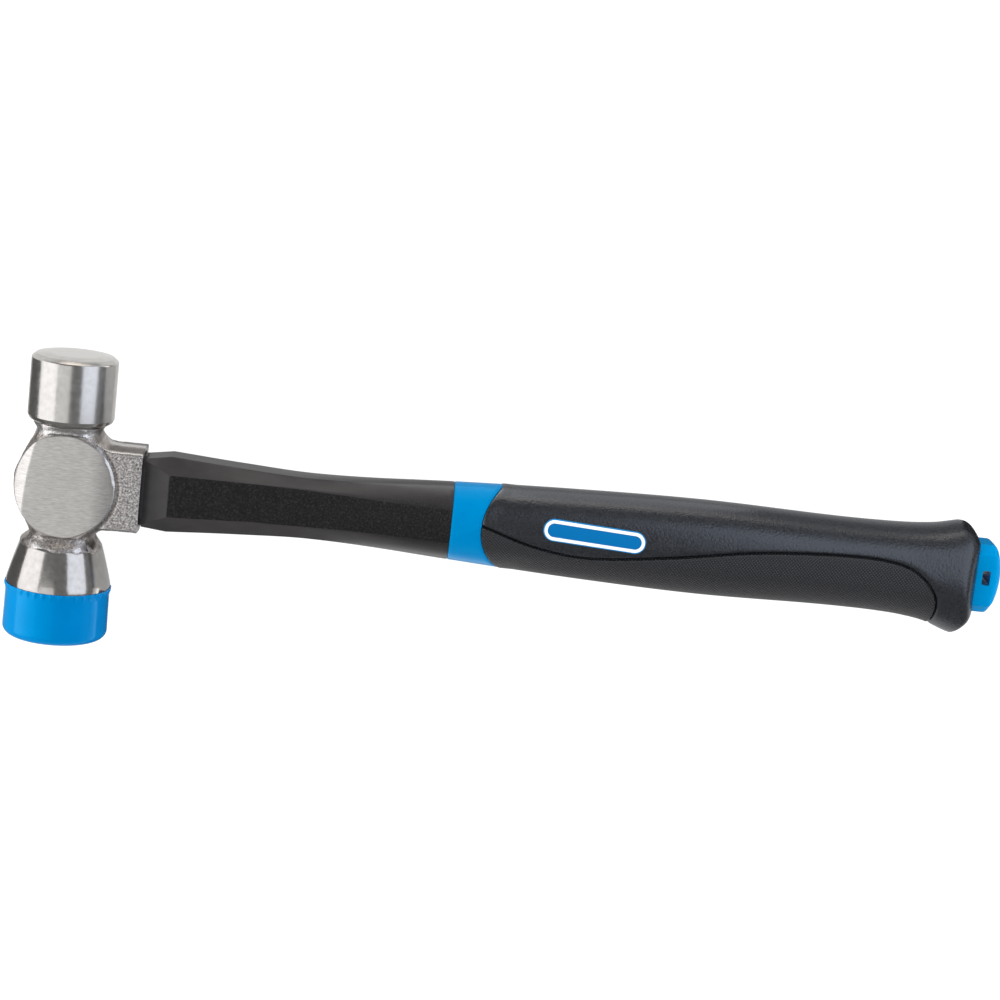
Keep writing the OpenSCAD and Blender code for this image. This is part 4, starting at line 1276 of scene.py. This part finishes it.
def make_world():
    """An even grey room, brighter to matt surfaces than in reflections, and white where the
    camera looks past the table."""
    world = bpy.data.worlds.new("studio")
    bpy.context.scene.world = world
    world.use_nodes = True
    tree = world.node_tree
    tree.nodes.clear()
    rays, seen = rays_and_seen(tree)
    room = add(tree, "MixRGB", {"Fac": rays["Is Diffuse Ray"], "Color1": (0.25, 0.25, 0.255, 1),
                                "Color2": (0.55, 0.55, 0.56, 1)}).outputs[0]
    tone = add(tree, "MixRGB", {"Fac": seen, "Color1": room, "Color2": (1, 1, 1, 1)}).outputs[0]
    sky = add(tree, "Background", {"Color": tone, "Strength": 1.0})
    add(tree, "OutputWorld", {"Surface": sky.outputs[0]})


# The camera's place in mm from the head's middle, and its turns about y, x and z in radians
CAMERA_PLACE = (99.669, 197.177, 875.972)
CAMERA_TURNS = (("Y", -0.0498197), ("X", -0.2118588), ("Z", 0.1133426))


def make_camera():
    """A long lens high over the head's side, turned a little to the handle and to the face."""
    lens = bpy.data.cameras.new("camera")
    lens.sensor_width, lens.lens = 36.0, 97.2
    lens.clip_start, lens.clip_end = 0.01, 20
    camera = bpy.data.objects.new("camera", lens)
    turn = Matrix.Identity(3)
    for axis, angle in CAMERA_TURNS:
        turn = turn @ Matrix.Rotation(angle, 3, axis)
    place = Vector((ORIGIN + np.array(CAMERA_PLACE) * MM).tolist())
    camera.matrix_world = Matrix.Translation(place) @ turn.to_4x4()
    bpy.context.scene.collection.objects.link(camera)
    bpy.context.scene.camera = camera


make_table()
make_world()
make_camera()
softbox("warm_softbox", -64, 0, 0.9, (54, 62), 1.65, "#fdfcff")
softbox("cool_softbox", 50, 16, 0.65, (44, 59), 1.45, "#e9f0ff")
softbox("top_panel", -18, -11, 0.85, (34, 44), 0.84, "#ffffff")
softbox("back_strip", 0, 84, 0.9, (47, 12), 2.3, "#fff3e8")
softbox("left_fill", -80, 0, 0.8, (30, 70), 7.3, "#ffffec", glossy=False)
softbox("right_fill", 80, 0, 0.8, (24, 70), 4.0, "#ffffff", glossy=False)
softbox("back_fill", 0, 78, 0.8, (60, 26), 3.0, "#ffffff", glossy=False)
softbox("front_fill", 0, -78, 0.8, (60, 26), 2.6, "#ffffff", glossy=False)
card("grey_card", -1.2, -0.6, -0.175, 0.044, 0.15)
card("socket_card", -0.142, 0.022, -0.118, 0.044, 0.8)
card("face_card", -0.3, 0.0445, -0.105, 0.16, 0.97)
card("left_card", -0.104, 0.044, -0.056, 0.5, 0.3)
card("upper_card", -0.055, 0.044, -0.004, 0.5, 3.4)
card("grip_card", -0.003, 0.044, 0.085, 0.5, 1.4)
card("end_card", 0.086, 0.044, 0.154, 0.5, 0.45)
card("dark_card", -0.128, -0.13, -0.06, -0.038, 0.04)
card("plug_card", 0.155, 0.012, 0.4, 0.14, 0.05)
card("lower_card", -0.059, -0.12, 0, -0.03, 2.0)
card("under_card", 0.001, -0.12, 0.17, -0.03, 0.9)

bpy.context.scene.view_settings.view_transform = "Standard"
